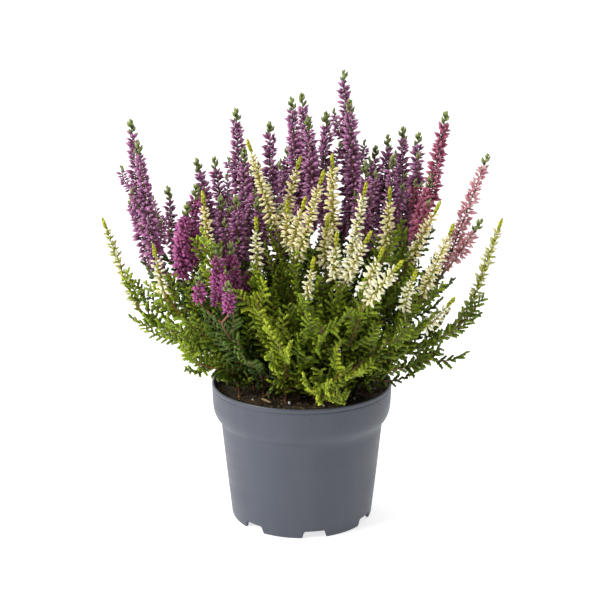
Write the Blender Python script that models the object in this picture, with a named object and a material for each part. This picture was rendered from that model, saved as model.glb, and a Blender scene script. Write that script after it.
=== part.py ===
"""A potted heather: a tapered nursery pot, its peat, leafy stems, and sprays of flower spikes on them.

The tables and the named sizes are in millimetres. The origin is the centre of the pot's foot, +Z is up,
-Y is the front and +X is the right-hand side. Meshes are written in metres.
"""

import math
import random

import bmesh
import bpy
from mathutils import Vector

MM = 0.001
GAP = 0.3

# Pot
POT_SIDES = 32
POT_HEIGHT = 93.0
RIM_RADIUS = 60.0
RIM_BAND_HEIGHT = 26.0
FOOT_RADIUS = 47.6
SHOULDER_RADIUS = 54.4
POT_WALL = 1.3
FLOOR_TOP = 8.0
FLOOR_THICKNESS = 1.5
NOTCH_COUNT = 7
NOTCH_TURN = math.radians(10.0)
NOTCH_WIDTH = 15.0
NOTCH_HEIGHT = 5.0
DRAIN_COUNT = 6
DRAIN_RADIUS = 4.0
DRAIN_CIRCLE = 30.0

# Soil
SOIL_TOP = 86.0
SOIL_SWELL = 1.1
SOIL_RINGS = (26.0,)
HOLE_DEPTH = 13.0

# Stems
WOOD_SIDES = 4
TRUNK_RADIUS = 1.9
BRANCH_RADIUS = 1.5
SEAT_RADIUS = 1.1
TRUNK_RISE = 7.0
ROOT_REACH = 0.5
ROOT_LIMIT = 43.0
LEAF_RELIEF = 3.0
LEAF_PITCH = 12.0
LEAFY_FROM = 0.45
SHOOT_CORE = 1.1
SHOOT_LEAF = 3.0
SHOOT_RINGS = 3
SHOOT_PLACES = ((4, 9), (6,))
BRANCH_STEPS = 12
SHOOT_ANGLE = math.radians(46.0)
SHOOT_CLEAR = 0.7

# Flower spikes
SPIKE_SIDES = 6
SPIKE_CORE = 2.5
TIER_PITCH = 7.0
NECK = 4.0
TUFT = 9.0
TUFT_RADIUS = 2.8
FORK_DROP = 11.0
SPIKE_BOW = 0.35

# Colour, roughness of each finish
FINISHES = {
    "pot_plastic": ((0.118, 0.125, 0.150), 0.50),
    "peat": ((0.028, 0.018, 0.012), 0.95),
    "dark_foliage": ((0.050, 0.085, 0.030), 0.60),
    "green_foliage": ((0.110, 0.170, 0.025), 0.60),
    "lime_foliage": ((0.330, 0.380, 0.030), 0.60),
    "purple_flower": ((0.230, 0.065, 0.180), 0.65),
    "magenta_flower": ((0.370, 0.055, 0.230), 0.65),
    "rose_flower": ((0.380, 0.060, 0.110), 0.65),
    "pink_flower": ((0.560, 0.230, 0.290), 0.65),
    "cream_flower": ((0.760, 0.680, 0.380), 0.65),
    "white_flower": ((0.850, 0.830, 0.660), 0.65),
}

# Each stem: its leaves, then its sprays. A spray: its flowers' colour, its fullest radius, and for each
# spike the tip and the lower end of the bloom. A stem without a spray ends in leafy tips.
STEMS = {
    "left_purple": ("dark_foliage", {
        "purple_spray_far_left": ("purple", 5.8, (
            ((-111, 18, 264), (-101, 8, 172)),
            ((-104, -2, 252), (-94, -6, 174)),
        )),
        "purple_spray_left_short": ("purple", 5.0, (
            ((-90, 36, 217), (-85, 26, 168)),
        )),
    }),
    "left_magenta": ("dark_foliage", {
        "magenta_spray_left": ("magenta", 6.2, (
            ((-67, -10, 225), (-72, -10, 176)),
            ((-71, -30, 217), (-76, -23, 170)),
        )),
        "purple_spray_left_back": ("purple", 6.0, (
            ((-70, 32, 236), (-58, 22, 187)),
            ((-60, 56, 234), (-52, 38, 180)),
        )),
    }),
    "left_white": ("lime_foliage", {
        "thin_spray_far_left": ("cream", 3.4, (
            ((-128, -6, 204), (-109, 0, 144)),
        )),
        "white_spray_left": ("white", 5.6, (
            ((-91, -44, 194), (-86, -37, 162)),
        )),
        "cream_spray_left": ("cream", 5.0, (
            ((-60, -46, 227), (-57, -38, 190)),
        )),
    }),
    "centre_left_purple": ("dark_foliage", {
        "purple_spray_centre_left": ("purple", 6.2, (
            ((-44, 42, 269), (-39, 28, 184)),
            ((-38, 24, 244), (-36, 16, 186)),
        )),
        "purple_spray_centre_left_low": ("purple", 6.0, (
            ((-52, -1, 216), (-50, -4, 173)),
            ((-42, -7, 217), (-40, -8, 174)),
        )),
    }),
    "centre_purple": ("dark_foliage", {
        "purple_spray_centre": ("purple", 6.2, (
            ((-22, 52, 259), (-19, 36, 190)),
            ((-10, 68, 240), (-10, 46, 184)),
        )),
        "purple_spray_centre_low": ("purple", 5.4, (
            ((-29, 7, 214), (-25, 5, 172)),
            ((-14, 12, 207), (-16, 9, 172)),
        )),
    }),
    "middle_purple": ("dark_foliage", {
        "purple_spray_middle": ("purple", 6.2, (
            ((-7, 32, 277), (-1, 24, 206)),
            ((0, 50, 278), (6, 35, 203)),
            ((4, 15, 266), (7, 13, 198)),
        )),
    }),
    "tall_purple": ("dark_foliage", {
        "purple_spray_tall": ("purple", 6.2, (
            ((28, 46, 294), (31, 33, 204)),
            ((31, 24, 276), (33, 20, 200)),
            ((16, 36, 267), (19, 27, 195)),
        )),
        "purple_spray_right_centre": ("purple", 5.8, (
            ((41, 3, 238), (40, 1, 188)),
            ((51, 62, 241), (47, 44, 180)),
        )),
    }),
    "right_purple": ("dark_foliage", {
        "purple_spray_right": ("purple", 6.0, (
            ((58, 42, 251), (53, 30, 186)),
            ((60, 20, 240), (56, 12, 186)),
        )),
        "purple_spray_far_right": ("purple", 6.2, (
            ((69, 56, 255), (68, 40, 181)),
            ((78, 39, 253), (72, 27, 184)),
        )),
    }),
    "right_rose": ("dark_foliage", {
        "rose_spray": ("rose", 6.2, (
            ((93, 15, 269), (79, 6, 194)),
            ((84, 7, 229), (74, 3, 190)),
        )),
        "pink_spray": ("pink", 6.0, (
            ((121, 14, 242), (95, 9, 169)),
            ((116, 2, 200), (100, 4, 174)),
        )),
    }),
    "front_magenta": ("dark_foliage", {
        "magenta_spray_front": ("magenta", 6.0, (
            ((-51, -50, 195), (-51, -38, 155)),
            ((-44, -37, 193), (-43, -28, 155)),
        )),
        "magenta_spray_front_low": ("magenta", 5.4, (
            ((-44, -69, 176), (-45, -56, 153)),
            ((-62, -58, 179), (-62, -48, 157)),
        )),
    }),
    "centre_white": ("green_foliage", {
        "cream_spray_centre": ("cream", 5.8, (
            ((-34, -16, 255), (-17, -12, 198)),
            ((-1, -7, 243), (-12, -8, 199)),
        )),
        "white_spray_centre": ("white", 5.6, (
            ((-28, -45, 211), (-28, -37, 176)),
        )),
    }),
    "front_cream": ("green_foliage", {
        "cream_spray_front": ("cream", 5.6, (
            ((-9, -27, 218), (-9, -24, 190)),
            ((2, -36, 222), (-6, -30, 189)),
            ((13, -42, 239), (-3, -37, 184)),
        )),
        "white_spray_front": ("white", 4.8, (
            ((7, -67, 191), (3, -58, 165)),
        )),
    }),
    "middle_cream": ("green_foliage", {
        "cream_spray_middle": ("cream", 6.2, (
            ((19, -15, 246), (19, -14, 190)),
            ((16, -30, 209), (14, -26, 178)),
        )),
    }),
    "right_white": ("green_foliage", {
        "white_spray_right": ("white", 6.0, (
            ((39, -45, 233), (26, -42, 168)),
            ((41, -63, 206), (27, -56, 176)),
            ((21, -52, 203), (20, -48, 174)),
        )),
        "cream_spray_right": ("cream", 6.0, (
            ((55, -22, 226), (53, -20, 186)),
        )),
    }),
    "front_right_white": ("green_foliage", {
        "white_spray_front_right": ("white", 6.2, (
            ((48, -72, 198), (38, -62, 170)),
            ((58, -84, 193), (40, -70, 166)),
        )),
        "cream_spray_far_right": ("cream", 5.8, (
            ((87, -17, 216), (68, -15, 176)),
        )),
    }),
    "far_right_white": ("green_foliage", {
        "cream_spray_low_right": ("cream", 6.0, (
            ((94, -33, 205), (76, -28, 158)),
        )),
        "white_spray_low_right": ("white", 5.6, (
            ((68, -66, 183), (62, -55, 157)),
            ((93, -54, 163), (77, -46, 142)),
        )),
        "thin_spray_far_right": ("cream", 3.6, (
            ((127, -14, 205), (106, -9, 137)),
        )),
    }),
    "back_left": ("green_foliage", {
        "purple_spray_back_left": ("purple", 6.0, (
            ((-34, 78, 228), (-26, 60, 172)),
            ((-52, 76, 206), (-40, 58, 158)),
        )),
        "white_spray_back_left": ("white", 5.8, (
            ((-84, 62, 190), (-68, 48, 146)),
            ((-68, 74, 178), (-56, 58, 144)),
        )),
    }),
    "back_right": ("green_foliage", {
        "purple_spray_back": ("purple", 6.0, (
            ((-2, 84, 226), (0, 62, 174)),
            ((20, 82, 214), (15, 62, 168)),
        )),
        "cream_spray_back_right": ("cream", 5.8, (
            ((44, 84, 196), (36, 64, 150)),
            ((72, 74, 190), (58, 56, 146)),
        )),
    }),
    "front_lime": ("lime_foliage", {}),
    "rim_lime": ("lime_foliage", {}),
}

# Leafy tips that carry no bloom, by stem.
LEAFY_TIPS = {
    "front_lime": ((-28, -55, 164), (-14, -58, 140)),
    "rim_lime": ((27, -60, 120), (10, -66, 106)),
    "left_white": ((-72, -36, 122),),
    "front_magenta": ((-40, -52, 136),),
    "front_cream": ((12, -64, 148),),
    "front_right_white": ((52, -54, 138),),
    "far_right_white": ((88, -14, 116),),
    "back_left": ((-48, 58, 126),),
    "back_right": ((22, 70, 130),),
}


def unit(vector):
    return vector.normalized()


def bezier(p0, p1, p2, p3, t):
    s = 1.0 - t
    return p0 * s**3 + p1 * 3 * s * s * t + p2 * 3 * s * t * t + p3 * t**3


def curve_points(p0, p1, p2, p3, count):
    return [bezier(p0, p1, p2, p3, i / count) for i in range(count + 1)]


def tangents(points):
    last = len(points) - 1
    return [unit(points[min(i + 1, last)] - points[max(i - 1, 0)]) for i in range(last + 1)]


def add_tube(bm, points, rings, sides, apex=None, seat=None):
    """A closed tube along points, ending in an apex or flat. A ring is (core radius, tip radius, lift).

    On a ring with a tip radius every second corner stands out, and the next ring's tips stand between
    them, so each tip is a four-sided bud or leaf raised from the core. The first ring squares up to seat.
    """
    directions = tangents(points)
    directions[0] = seat or directions[0]
    side = directions[0].orthogonal().normalized()
    grid = []
    for j, (point, along, ring) in enumerate(zip(points, directions, rings)):
        core, tip, lift = ring
        side = unit(side - along * side.dot(along))
        across = along.cross(side)
        row = []
        for i in range(sides):
            angle = math.tau * i / sides
            stands = tip > 0.0 and (i + j) % 2 == 0
            radius = tip if stands else core
            place = point + (side * math.cos(angle) + across * math.sin(angle)) * radius
            if stands:
                place = place + along * lift
            row.append(bm.verts.new(place * MM))
        grid.append(row)
    for j in range(len(grid) - 1):
        for i in range(sides):
            n = (i + 1) % sides
            a, b, c, d = grid[j][i], grid[j][n], grid[j + 1][n], grid[j + 1][i]
            if (i + j) % 2 == 0:
                bm.faces.new((a, b, d))
                bm.faces.new((b, c, d))
            else:
                bm.faces.new((a, b, c))
                bm.faces.new((a, c, d))
    bm.faces.new(list(reversed(grid[0])))
    if apex is None:
        bm.faces.new(grid[-1])
        return
    point = bm.verts.new(apex * MM)
    for i in range(sides):
        bm.faces.new((grid[-1][i], grid[-1][(i + 1) % sides], point))


def new_object(name, bm, finish):
    bmesh.ops.recalc_face_normals(bm, faces=bm.faces)
    mesh = bpy.data.meshes.new(name)
    bm.to_mesh(mesh)
    bm.free()
    obj = bpy.data.objects.new(name, mesh)
    bpy.context.scene.collection.objects.link(obj)
    mesh.materials.append(materials[finish])
    return obj


def apply_boolean(obj, tools, operation, solver):
    """Joins or cuts obj with the tools in one Boolean on a collection, and removes the tools."""
    group = bpy.data.collections.new(obj.name + "_tools")
    bpy.context.scene.collection.children.link(group)
    for tool in tools:
        bpy.context.scene.collection.objects.unlink(tool)
        group.objects.link(tool)
        tool.hide_render = True
        tool.display_type = "WIRE"
    modifier = obj.modifiers.new(operation.lower(), "BOOLEAN")
    modifier.operation = operation
    modifier.operand_type = "COLLECTION"
    modifier.collection = group
    modifier.solver = solver
    depsgraph = bpy.context.evaluated_depsgraph_get()
    result = bpy.data.meshes.new_from_object(obj.evaluated_get(depsgraph))
    old = obj.data
    obj.modifiers.clear()
    obj.data = result
    bpy.data.meshes.remove(old)
    for tool in list(group.objects):
        bpy.data.objects.remove(tool)
    bpy.data.collections.remove(group)


def keep_main_body(obj):
    """Fills any hollow that the union sealed and drops loose scraps: only the largest skin stays."""
    bm = bmesh.new()
    bm.from_mesh(obj.data)
    left = set(bm.faces)
    skins = []
    while left:
        seed = left.pop()
        skin = {seed}
        front = [seed]
        while front:
            face = front.pop()
            for edge in face.edges:
                for other in edge.link_faces:
                    if other in left:
                        left.remove(other)
                        skin.add(other)
                        front.append(other)
        skins.append(skin)
    skins.sort(key=len, reverse=True)
    scraps = [face for skin in skins[1:] for face in skin]
    bmesh.ops.delete(bm, geom=scraps, context="FACES")
    bm.to_mesh(obj.data)
    bm.free()


def make_materials():
    made = {}
    for name, (colour, roughness) in FINISHES.items():
        material = bpy.data.materials.new(name)
        material.use_nodes = True
        shader = material.node_tree.nodes["Principled BSDF"]
        shader.inputs["Base Color"].default_value = (*colour, 1.0)
        shader.inputs["Roughness"].default_value = roughness
        shader.inputs["Metallic"].default_value = 0.0
        made[name] = material
    return made


def lathe(profile, sides):
    """A closed body turned from an outline that starts and ends on the axis."""
    bm = bmesh.new()
    rows = []
    for radius, height in profile:
        if radius == 0.0:
            rows.append([bm.verts.new((0.0, 0.0, height * MM))])
            continue
        row = []
        for i in range(sides):
            angle = math.tau * i / sides
            place = Vector((radius * math.cos(angle), radius * math.sin(angle), height))
            row.append(bm.verts.new(place * MM))
        rows.append(row)
    for low, high in zip(rows, rows[1:]):
        for i in range(sides):
            n = (i + 1) % sides
            corners = [low[i % len(low)], low[n % len(low)], high[n % len(high)], high[i % len(high)]]
            bm.faces.new(list(dict.fromkeys(corners)))
    return bm


def inner_radius(height):
    """The radius inside the pot's wall, which follows the outer taper."""
    shoulder = POT_HEIGHT - RIM_BAND_HEIGHT
    slope = (SHOULDER_RADIUS - FOOT_RADIUS) / shoulder
    return FOOT_RADIUS + slope * min(height, shoulder) - POT_WALL


def block(name, size, place, turn):
    bm = bmesh.new()
    bmesh.ops.create_cube(bm, size=1.0)
    bmesh.ops.scale(bm, vec=Vector(size) * MM, verts=bm.verts)
    obj = new_object(name, bm, "pot_plastic")
    obj.location = Vector(place) * MM
    obj.rotation_euler = (0.0, 0.0, turn)
    return obj


def prism(name, radius, sides, low, high, x, y):
    bm = bmesh.new()
    add_tube(bm, [Vector((x, y, low)), Vector((x, y, high))], [(radius, 0, 0)] * 2, sides)
    return new_object(name, bm, "peat")


def build_pot():
    shoulder = POT_HEIGHT - RIM_BAND_HEIGHT
    outline = [
        (0.0, FLOOR_TOP - FLOOR_THICKNESS),
        (FOOT_RADIUS - POT_WALL - 1.0, FLOOR_TOP - FLOOR_THICKNESS),
        (FOOT_RADIUS - POT_WALL - 0.8, 0.0),
        (FOOT_RADIUS - 0.4, 0.0),
        (FOOT_RADIUS + 0.2, 1.5),
        (SHOULDER_RADIUS, shoulder),
        (RIM_RADIUS - 3.4, shoulder + 2.4),
        (RIM_RADIUS - 1.4, shoulder + 5.6),
        (RIM_RADIUS - 0.4, shoulder + 10.5),
        (RIM_RADIUS, POT_HEIGHT - 0.6),
        (RIM_RADIUS - 0.5, POT_HEIGHT),
        (RIM_RADIUS - POT_WALL, POT_HEIGHT - 0.2),
        (RIM_RADIUS - POT_WALL - 0.3, shoulder + 9.0),
        (SHOULDER_RADIUS - POT_WALL, shoulder),
        (inner_radius(FLOOR_TOP), FLOOR_TOP),
        (0.0, FLOOR_TOP),
    ]
    pot = new_object("pot", lathe(outline, POT_SIDES), "pot_plastic")
    cutters = []
    for k in range(NOTCH_COUNT):
        angle = -math.pi / 2 + NOTCH_TURN + math.tau * k / NOTCH_COUNT
        place = (FOOT_RADIUS * math.cos(angle), FOOT_RADIUS * math.sin(angle), NOTCH_HEIGHT / 2 - 1.0)
        size = (12.0, NOTCH_WIDTH, NOTCH_HEIGHT + 2.0)
        cutters.append(block(f"notch_{k}", size, place, angle))
    for k in range(DRAIN_COUNT):
        angle = math.tau * k / DRAIN_COUNT
        x = DRAIN_CIRCLE * math.cos(angle)
        y = DRAIN_CIRCLE * math.sin(angle)
        cutters.append(prism(f"drain_{k}", DRAIN_RADIUS, 6, FLOOR_TOP - 3.0, FLOOR_TOP + 1.0, x, y))
    bpy.context.view_layer.update()
    apply_boolean(pot, cutters, "DIFFERENCE", "EXACT")


def soil_height(x, y):
    """The peat's surface, a little uneven."""
    return SOIL_TOP + SOIL_SWELL * (math.sin(0.11 * x + 0.6) * math.cos(0.13 * y) - 0.3)


def build_soil(roots):
    bm = bmesh.new()
    shoulder = POT_HEIGHT - RIM_BAND_HEIGHT
    floor = FLOOR_TOP + GAP
    edge = SHOULDER_RADIUS - POT_WALL
    slope = (RIM_RADIUS - POT_WALL - 0.3 - edge) / 9.0
    wall = [(inner_radius(floor) - GAP, floor), (edge - GAP, shoulder)]
    wall.append((edge + slope * 9.0 - GAP, shoulder + 9.0))
    wall.append((RIM_RADIUS - POT_WALL - GAP - 0.3, None))
    radii = wall + [(radius, None) for radius in SOIL_RINGS]
    rows = []
    for radius, height in radii:
        row = []
        for i in range(POT_SIDES):
            angle = math.tau * i / POT_SIDES
            x = radius * math.cos(angle)
            y = radius * math.sin(angle)
            z = soil_height(x, y) if height is None else height
            row.append(bm.verts.new(Vector((x, y, z)) * MM))
        rows.append(row)
    for low, high in zip(rows, rows[1:]):
        for i in range(POT_SIDES):
            n = (i + 1) % POT_SIDES
            bm.faces.new((low[i], low[n], high[n]))
            bm.faces.new((low[i], high[n], high[i]))
    bm.faces.new(list(reversed(rows[0])))
    middle = bm.verts.new(Vector((0.0, 0.0, soil_height(0.0, 0.0))) * MM)
    for i in range(POT_SIDES):
        bm.faces.new((rows[-1][i], rows[-1][(i + 1) % POT_SIDES], middle))
    soil = new_object("soil", bm, "peat")
    radius = TRUNK_RADIUS + GAP + 0.15
    low = SOIL_TOP - HOLE_DEPTH
    cutters = []
    for k, (x, y) in enumerate(roots):
        cutters.append(prism(f"hole_{k}", radius, WOOD_SIDES, low, SOIL_TOP + 5.0, x, y))
    apply_boolean(soil, cutters, "DIFFERENCE", "EXACT")


def spray_foot(spikes, root):
    """Where a spray sits on its stem, and the direction that the stem has there."""
    bases = [Vector(base) for _, base in spikes]
    middle = sum(bases, Vector()) / len(bases)
    ground = Vector((root[0], root[1], SOIL_TOP))
    towards = unit(middle - ground)
    if len(bases) > 1:
        middle = middle - towards * FORK_DROP
    rise = unit(sum((Vector(tip) for tip, _ in spikes), Vector()) / len(spikes) - middle)
    return middle, unit(towards + rise)


def spike_rings(length):
    """How far up the bloom each tier stands, and how wide it is, from 0 at its foot to 1 at its top."""
    count = max(3, round(length / TIER_PITCH))
    tiers = []
    for k in range(count + 1):
        t = k / count
        fullness = 0.72 + 0.28 * math.sin(math.pi * min(1.0, 0.25 + t * 0.9))
        tiers.append((t, fullness))
    return tiers


def add_spike(bm, foot, along, tip, base, radius, sink):
    """One spike: a bare foot, tiers of buds, a bare neck and a leafy tuft. Returns its axis."""
    tip = Vector(tip)
    base = Vector(base)
    forked = (base - foot).length > 1.0
    points = [foot + along * sink]
    rings = [(SEAT_RADIUS - 0.1 - sink * 0.05, 0.0, 0.0)]
    rise = unit(tip - base)
    span = (tip - base).length
    entry = unit(rise + unit(base - foot if forked else along) * SPIKE_BOW)
    p1 = base + entry * span * 0.35
    p2 = tip - rise * span * 0.35
    bloom = span - NECK - TUFT
    start = 0.0 if forked else 2.5 / span
    for t, fullness in spike_rings(bloom):
        u = start + t * (bloom / span - start)
        points.append(bezier(base, p1, p2, tip, u))
        outer = radius * fullness * (1.0 - 0.30 * t)
        rings.append((SPIKE_CORE * (1.0 - 0.25 * t), outer, 1.6 * (t - 0.35)))
    points.append(bezier(base, p1, p2, tip, (bloom + NECK) / span))
    rings.append((0.9, 0.0, 0.0))
    points.append(bezier(base, p1, p2, tip, (bloom + NECK + TUFT * 0.5) / span))
    rings.append((1.3, TUFT_RADIUS, 1.8))
    add_tube(bm, points, rings, SPIKE_SIDES, tip, along)
    return points


def build_spray(name, colour, radius, spikes, root, capsules):
    foot, along = spray_foot(spikes, root)
    foot = foot + along * (GAP / 2)
    made = []
    for k, (tip, base) in enumerate(spikes):
        bm = bmesh.new()
        points = add_spike(bm, foot, along, tip, base, radius, 0.8 * k)
        made.append(new_object(name if k == 0 else f"{name}_{k}", bm, f"{colour}_flower"))
        for a, b in zip(points, points[1:]):
            capsules.append((a, b, radius, name))
    if len(made) > 1:
        apply_boolean(made[0], made[1:], "UNION", "MANIFOLD")
        keep_main_body(made[0])


def branch_axis(root, end, along):
    """A branch's curve, which leaves the soil upright and meets its spray head on."""
    start = Vector((root[0], root[1], SOIL_TOP + TRUNK_RISE * 0.5))
    reach = (end - start).length
    p1 = start + Vector((0.0, 0.0, 0.38 * reach))
    p2 = end - along * reach * 0.32
    return start, p1, p2, end


def add_branch(bm, root, end, along, first, leafy_end):
    """A woody branch with leaf scales on its upper part. Returns its axis."""
    axis = branch_axis(root, end, along)
    length = (axis[3] - axis[0]).length
    points = []
    rings = []
    if first:
        low = SOIL_TOP - HOLE_DEPTH + GAP
        points.append(Vector((root[0], root[1], low)))
        rings.append((TRUNK_RADIUS, 0.0, 0.0))
        points.append(Vector((root[0], root[1], SOIL_TOP + 1.5)))
        rings.append((TRUNK_RADIUS, 0.0, 0.0))
    count = max(3, round(length * (1.0 - LEAFY_FROM) / LEAF_PITCH))
    steps = [0.0, LEAFY_FROM * 0.55] + [LEAFY_FROM + (1.0 - LEAFY_FROM) * k / count for k in range(count + 1)]
    for t in steps:
        bare = t < LEAFY_FROM or (t == steps[-1] and not leafy_end)
        radius = BRANCH_RADIUS + (SEAT_RADIUS - BRANCH_RADIUS) * t
        points.append(bezier(*axis, t))
        rings.append((radius, 0.0 if bare else radius + LEAF_RELIEF, 1.5))
    apex = end + along * LEAF_PITCH * 0.6 if leafy_end else None
    add_tube(bm, points, rings, WOOD_SIDES, apex)
    return points


def segment_gap(a0, a1, b0, b1):
    """The least distance between two straight pieces."""
    u = a1 - a0
    v = b1 - b0
    w = a0 - b0
    a = u.dot(u)
    b = u.dot(v)
    c = v.dot(v)
    d = u.dot(w)
    e = v.dot(w)
    det = a * c - b * b
    s = 0.0 if det < 1e-9 else min(1.0, max(0.0, (b * e - c * d) / det))
    t = min(1.0, max(0.0, (b * s + e) / c))
    s = min(1.0, max(0.0, (b * t - d) / a))
    return (w + u * s - v * t).length


def is_clear(points, radius, owner, capsules):
    for a, b in zip(points, points[1:]):
        for c, d, other, name in capsules:
            if name != owner and segment_gap(a, b, c, d) < radius + other + SHOOT_CLEAR:
                return False
    return True


def in_the_open(points):
    """Clear of the pot's rim and of the peat."""
    for point in points:
        out = math.hypot(point.x, point.y)
        if point.z < SOIL_TOP + 7.0 or (out > RIM_RADIUS - 8.0 and point.z < POT_HEIGHT + 5.0):
            return False
    return True


def shoot_axis(branch, k, angle, length):
    """A side shoot that leaves the branch at an angle and bends upwards."""
    along = unit(branch[k] - branch[k - 1])
    side = along.orthogonal().normalized()
    out = side * math.cos(angle) + along.cross(side) * math.sin(angle)
    start = branch[k - 1].lerp(branch[k], 0.5)
    first = along * math.cos(SHOOT_ANGLE) + out * math.sin(SHOOT_ANGLE)
    last = unit(first + Vector((0.0, 0.0, 0.8)))
    middle = start + first * length * 0.5
    return [start + (middle - start) * 0.1, middle, middle + last * length * 0.5]


def add_shoot(bm, axis):
    start, middle, end = axis
    points = []
    rings = []
    for k in range(SHOOT_RINGS):
        t = k / SHOOT_RINGS
        points.append(start.lerp(middle, t).lerp(middle.lerp(end, t), t))
        leaf = SHOOT_LEAF * (1.0 - 0.2 * t)
        rings.append((SHOOT_CORE * (1.0 - 0.2 * t), leaf if k else 0.0, 2.2))
    add_tube(bm, points, rings, WOOD_SIDES, end)


def stem_root(sprays, tips):
    """The place in the peat, below the middle of what the stem carries."""
    ends = [Vector(base) for _, _, spikes in sprays.values() for _, base in spikes]
    ends = ends or [Vector(tip) for tip in tips]
    middle = sum(ends, Vector()) / len(ends)
    spot = Vector((middle.x, middle.y)) * ROOT_REACH
    if spot.length > ROOT_LIMIT:
        spot = spot.normalized() * ROOT_LIMIT
    return round(spot.x, 1), round(spot.y, 1)


def stem_branches(stem, root):
    """The ends of a stem's branches: its sprays' feet and its leafy tips."""
    ends = []
    for _, _, spikes in STEMS[stem][1].values():
        foot, along = spray_foot(spikes, root)
        ends.append((foot - along * (GAP / 2), along, False))
    for tip in LEAFY_TIPS.get(stem, ()):
        tip = Vector(tip)
        ground = Vector((root[0], root[1], SOIL_TOP))
        ends.append((tip, unit(unit(tip - ground) + Vector((0.0, 0.0, 0.6))), True))
    return ends


def branch_points(root, end, along):
    axis = branch_axis(root, end, along)
    return curve_points(*axis, BRANCH_STEPS)


def build_stem(stem, root, capsules, rng):
    leaves = STEMS[stem][0]
    name = f"stem_{stem}"
    parts = []
    branches = []
    for k, (end, along, leafy_end) in enumerate(stem_branches(stem, root)):
        bm = bmesh.new()
        add_branch(bm, root, end, along, k == 0, leafy_end)
        parts.append(new_object(name if k == 0 else f"{name}_{k}", bm, leaves))
        branches.append(branch_points(root, end, along))
    for number, branch in enumerate(branches):
        turn = rng.uniform(0.0, math.tau)
        for k in SHOOT_PLACES[number % len(SHOOT_PLACES)]:
            turn += math.radians(137.5)
            for attempt in range(6):
                angle = turn + attempt * math.radians(50.0)
                length = rng.uniform(20.0, 27.0)
                axis = shoot_axis(branch, k, angle, length)
                if in_the_open(axis) and is_clear(axis, SHOOT_LEAF, name, capsules):
                    bm = bmesh.new()
                    add_shoot(bm, axis)
                    parts.append(new_object(f"{name}_shoot", bm, leaves))
                    for a, b in zip(axis, axis[1:]):
                        capsules.append((a, b, SHOOT_LEAF, name))
                    break
    if len(parts) > 1:
        apply_boolean(parts[0], parts[1:], "UNION", "MANIFOLD")
        keep_main_body(parts[0])


def main():
    for obj in list(bpy.data.objects):
        bpy.data.objects.remove(obj)
    materials.update(make_materials())
    build_pot()
    roots = {}
    for stem, (_, sprays) in STEMS.items():
        roots[stem] = stem_root(sprays, LEAFY_TIPS.get(stem, ()))
    build_soil(list(roots.values()))
    capsules = []
    for stem, (_, sprays) in STEMS.items():
        for name, (colour, radius, spikes) in sprays.items():
            build_spray(name, colour, radius, spikes, roots[stem], capsules)
    for stem in STEMS:
        for end, along, _ in stem_branches(stem, roots[stem]):
            branch = branch_points(roots[stem], end, along)
            for a, b in zip(branch, branch[1:]):
                capsules.append((a, b, BRANCH_RADIUS + LEAF_RELIEF, f"stem_{stem}"))
    rng = random.Random(11)
    for stem in STEMS:
        build_stem(stem, roots[stem], capsules, rng)


materials = {}
main()
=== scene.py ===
"""Looks of the potted heather: pot, peat, leafy stems and flower sprays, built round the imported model.

Tables and named sizes are in millimetres, meshes in metres. The origin is the centre of the pot's foot,
+Z is up, -Y is the front and +X is the right-hand side. Every CAD node is replaced by a finer piece of
the same form.
"""
import logging
import math
import random
from dataclasses import dataclass, field, replace
from enum import Enum
from functools import cached_property
from typing import Sequence

import bmesh
import bpy
from mathutils import Euler, Matrix, Vector, noise


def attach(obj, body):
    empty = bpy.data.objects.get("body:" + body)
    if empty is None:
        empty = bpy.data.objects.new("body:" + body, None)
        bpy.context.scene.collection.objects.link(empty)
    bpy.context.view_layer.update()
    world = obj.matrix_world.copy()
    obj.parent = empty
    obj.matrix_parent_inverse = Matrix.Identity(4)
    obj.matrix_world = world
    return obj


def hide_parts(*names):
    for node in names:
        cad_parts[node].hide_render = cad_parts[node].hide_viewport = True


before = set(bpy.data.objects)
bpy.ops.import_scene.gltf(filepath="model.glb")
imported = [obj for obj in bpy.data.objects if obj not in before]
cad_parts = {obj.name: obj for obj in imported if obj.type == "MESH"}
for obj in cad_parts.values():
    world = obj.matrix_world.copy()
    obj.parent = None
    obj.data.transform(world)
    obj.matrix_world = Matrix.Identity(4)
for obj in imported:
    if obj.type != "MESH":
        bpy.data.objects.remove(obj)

log = logging.getLogger("heather")
MM = 0.001
GOLDEN = math.radians(137.5)
QUARTER = math.pi / 2
UP = Vector((0.0, 0.0, 1.0))
# Blender takes the seed of its vector noise from the clock unless one is set.
NOISE_SEED = 1
Triple = tuple[float, float, float]
Curve = tuple[Vector, Vector, Vector, Vector]
Tree = bpy.types.NodeTree
Node = bpy.types.Node
Socket = bpy.types.NodeSocket
Material = bpy.types.Material
Mesh = bmesh.types.BMesh
Vert = bmesh.types.BMVert
Layer = bmesh.types.BMLayerItem


class Zone(Enum):
    """What a chain of a plant's skeleton carries."""

    WOOD = 0
    FLOWERS = 1
    CROWN = 2
    SPRIGS = 3
    SCALES = 4


class Bloom(Enum):
    """The colours of the flower spikes."""

    PURPLE = "purple"
    MAGENTA = "magenta"
    ROSE = "rose"
    PINK = "pink"
    CREAM = "cream"
    WHITE = "white"


class Leaf(Enum):
    """The colours of the foliage."""

    DARK = "dark"
    GREEN = "green"
    LIME = "lime"


@dataclass(frozen=True)
class Spike:
    """One flower spike: its tip and the lower end of its bloom."""

    tip: Triple
    base: Triple


@dataclass(frozen=True)
class Spray:
    """Spikes that fork from one foot."""

    name: str
    bloom: Bloom
    radius: float
    spikes: tuple[Spike, ...]


@dataclass(frozen=True)
class Stem:
    """A woody stem: its leaves, its sprays and its leafy tips."""

    name: str
    leaf: Leaf
    sprays: tuple[Spray, ...]
    tips: tuple[Triple, ...]


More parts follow.
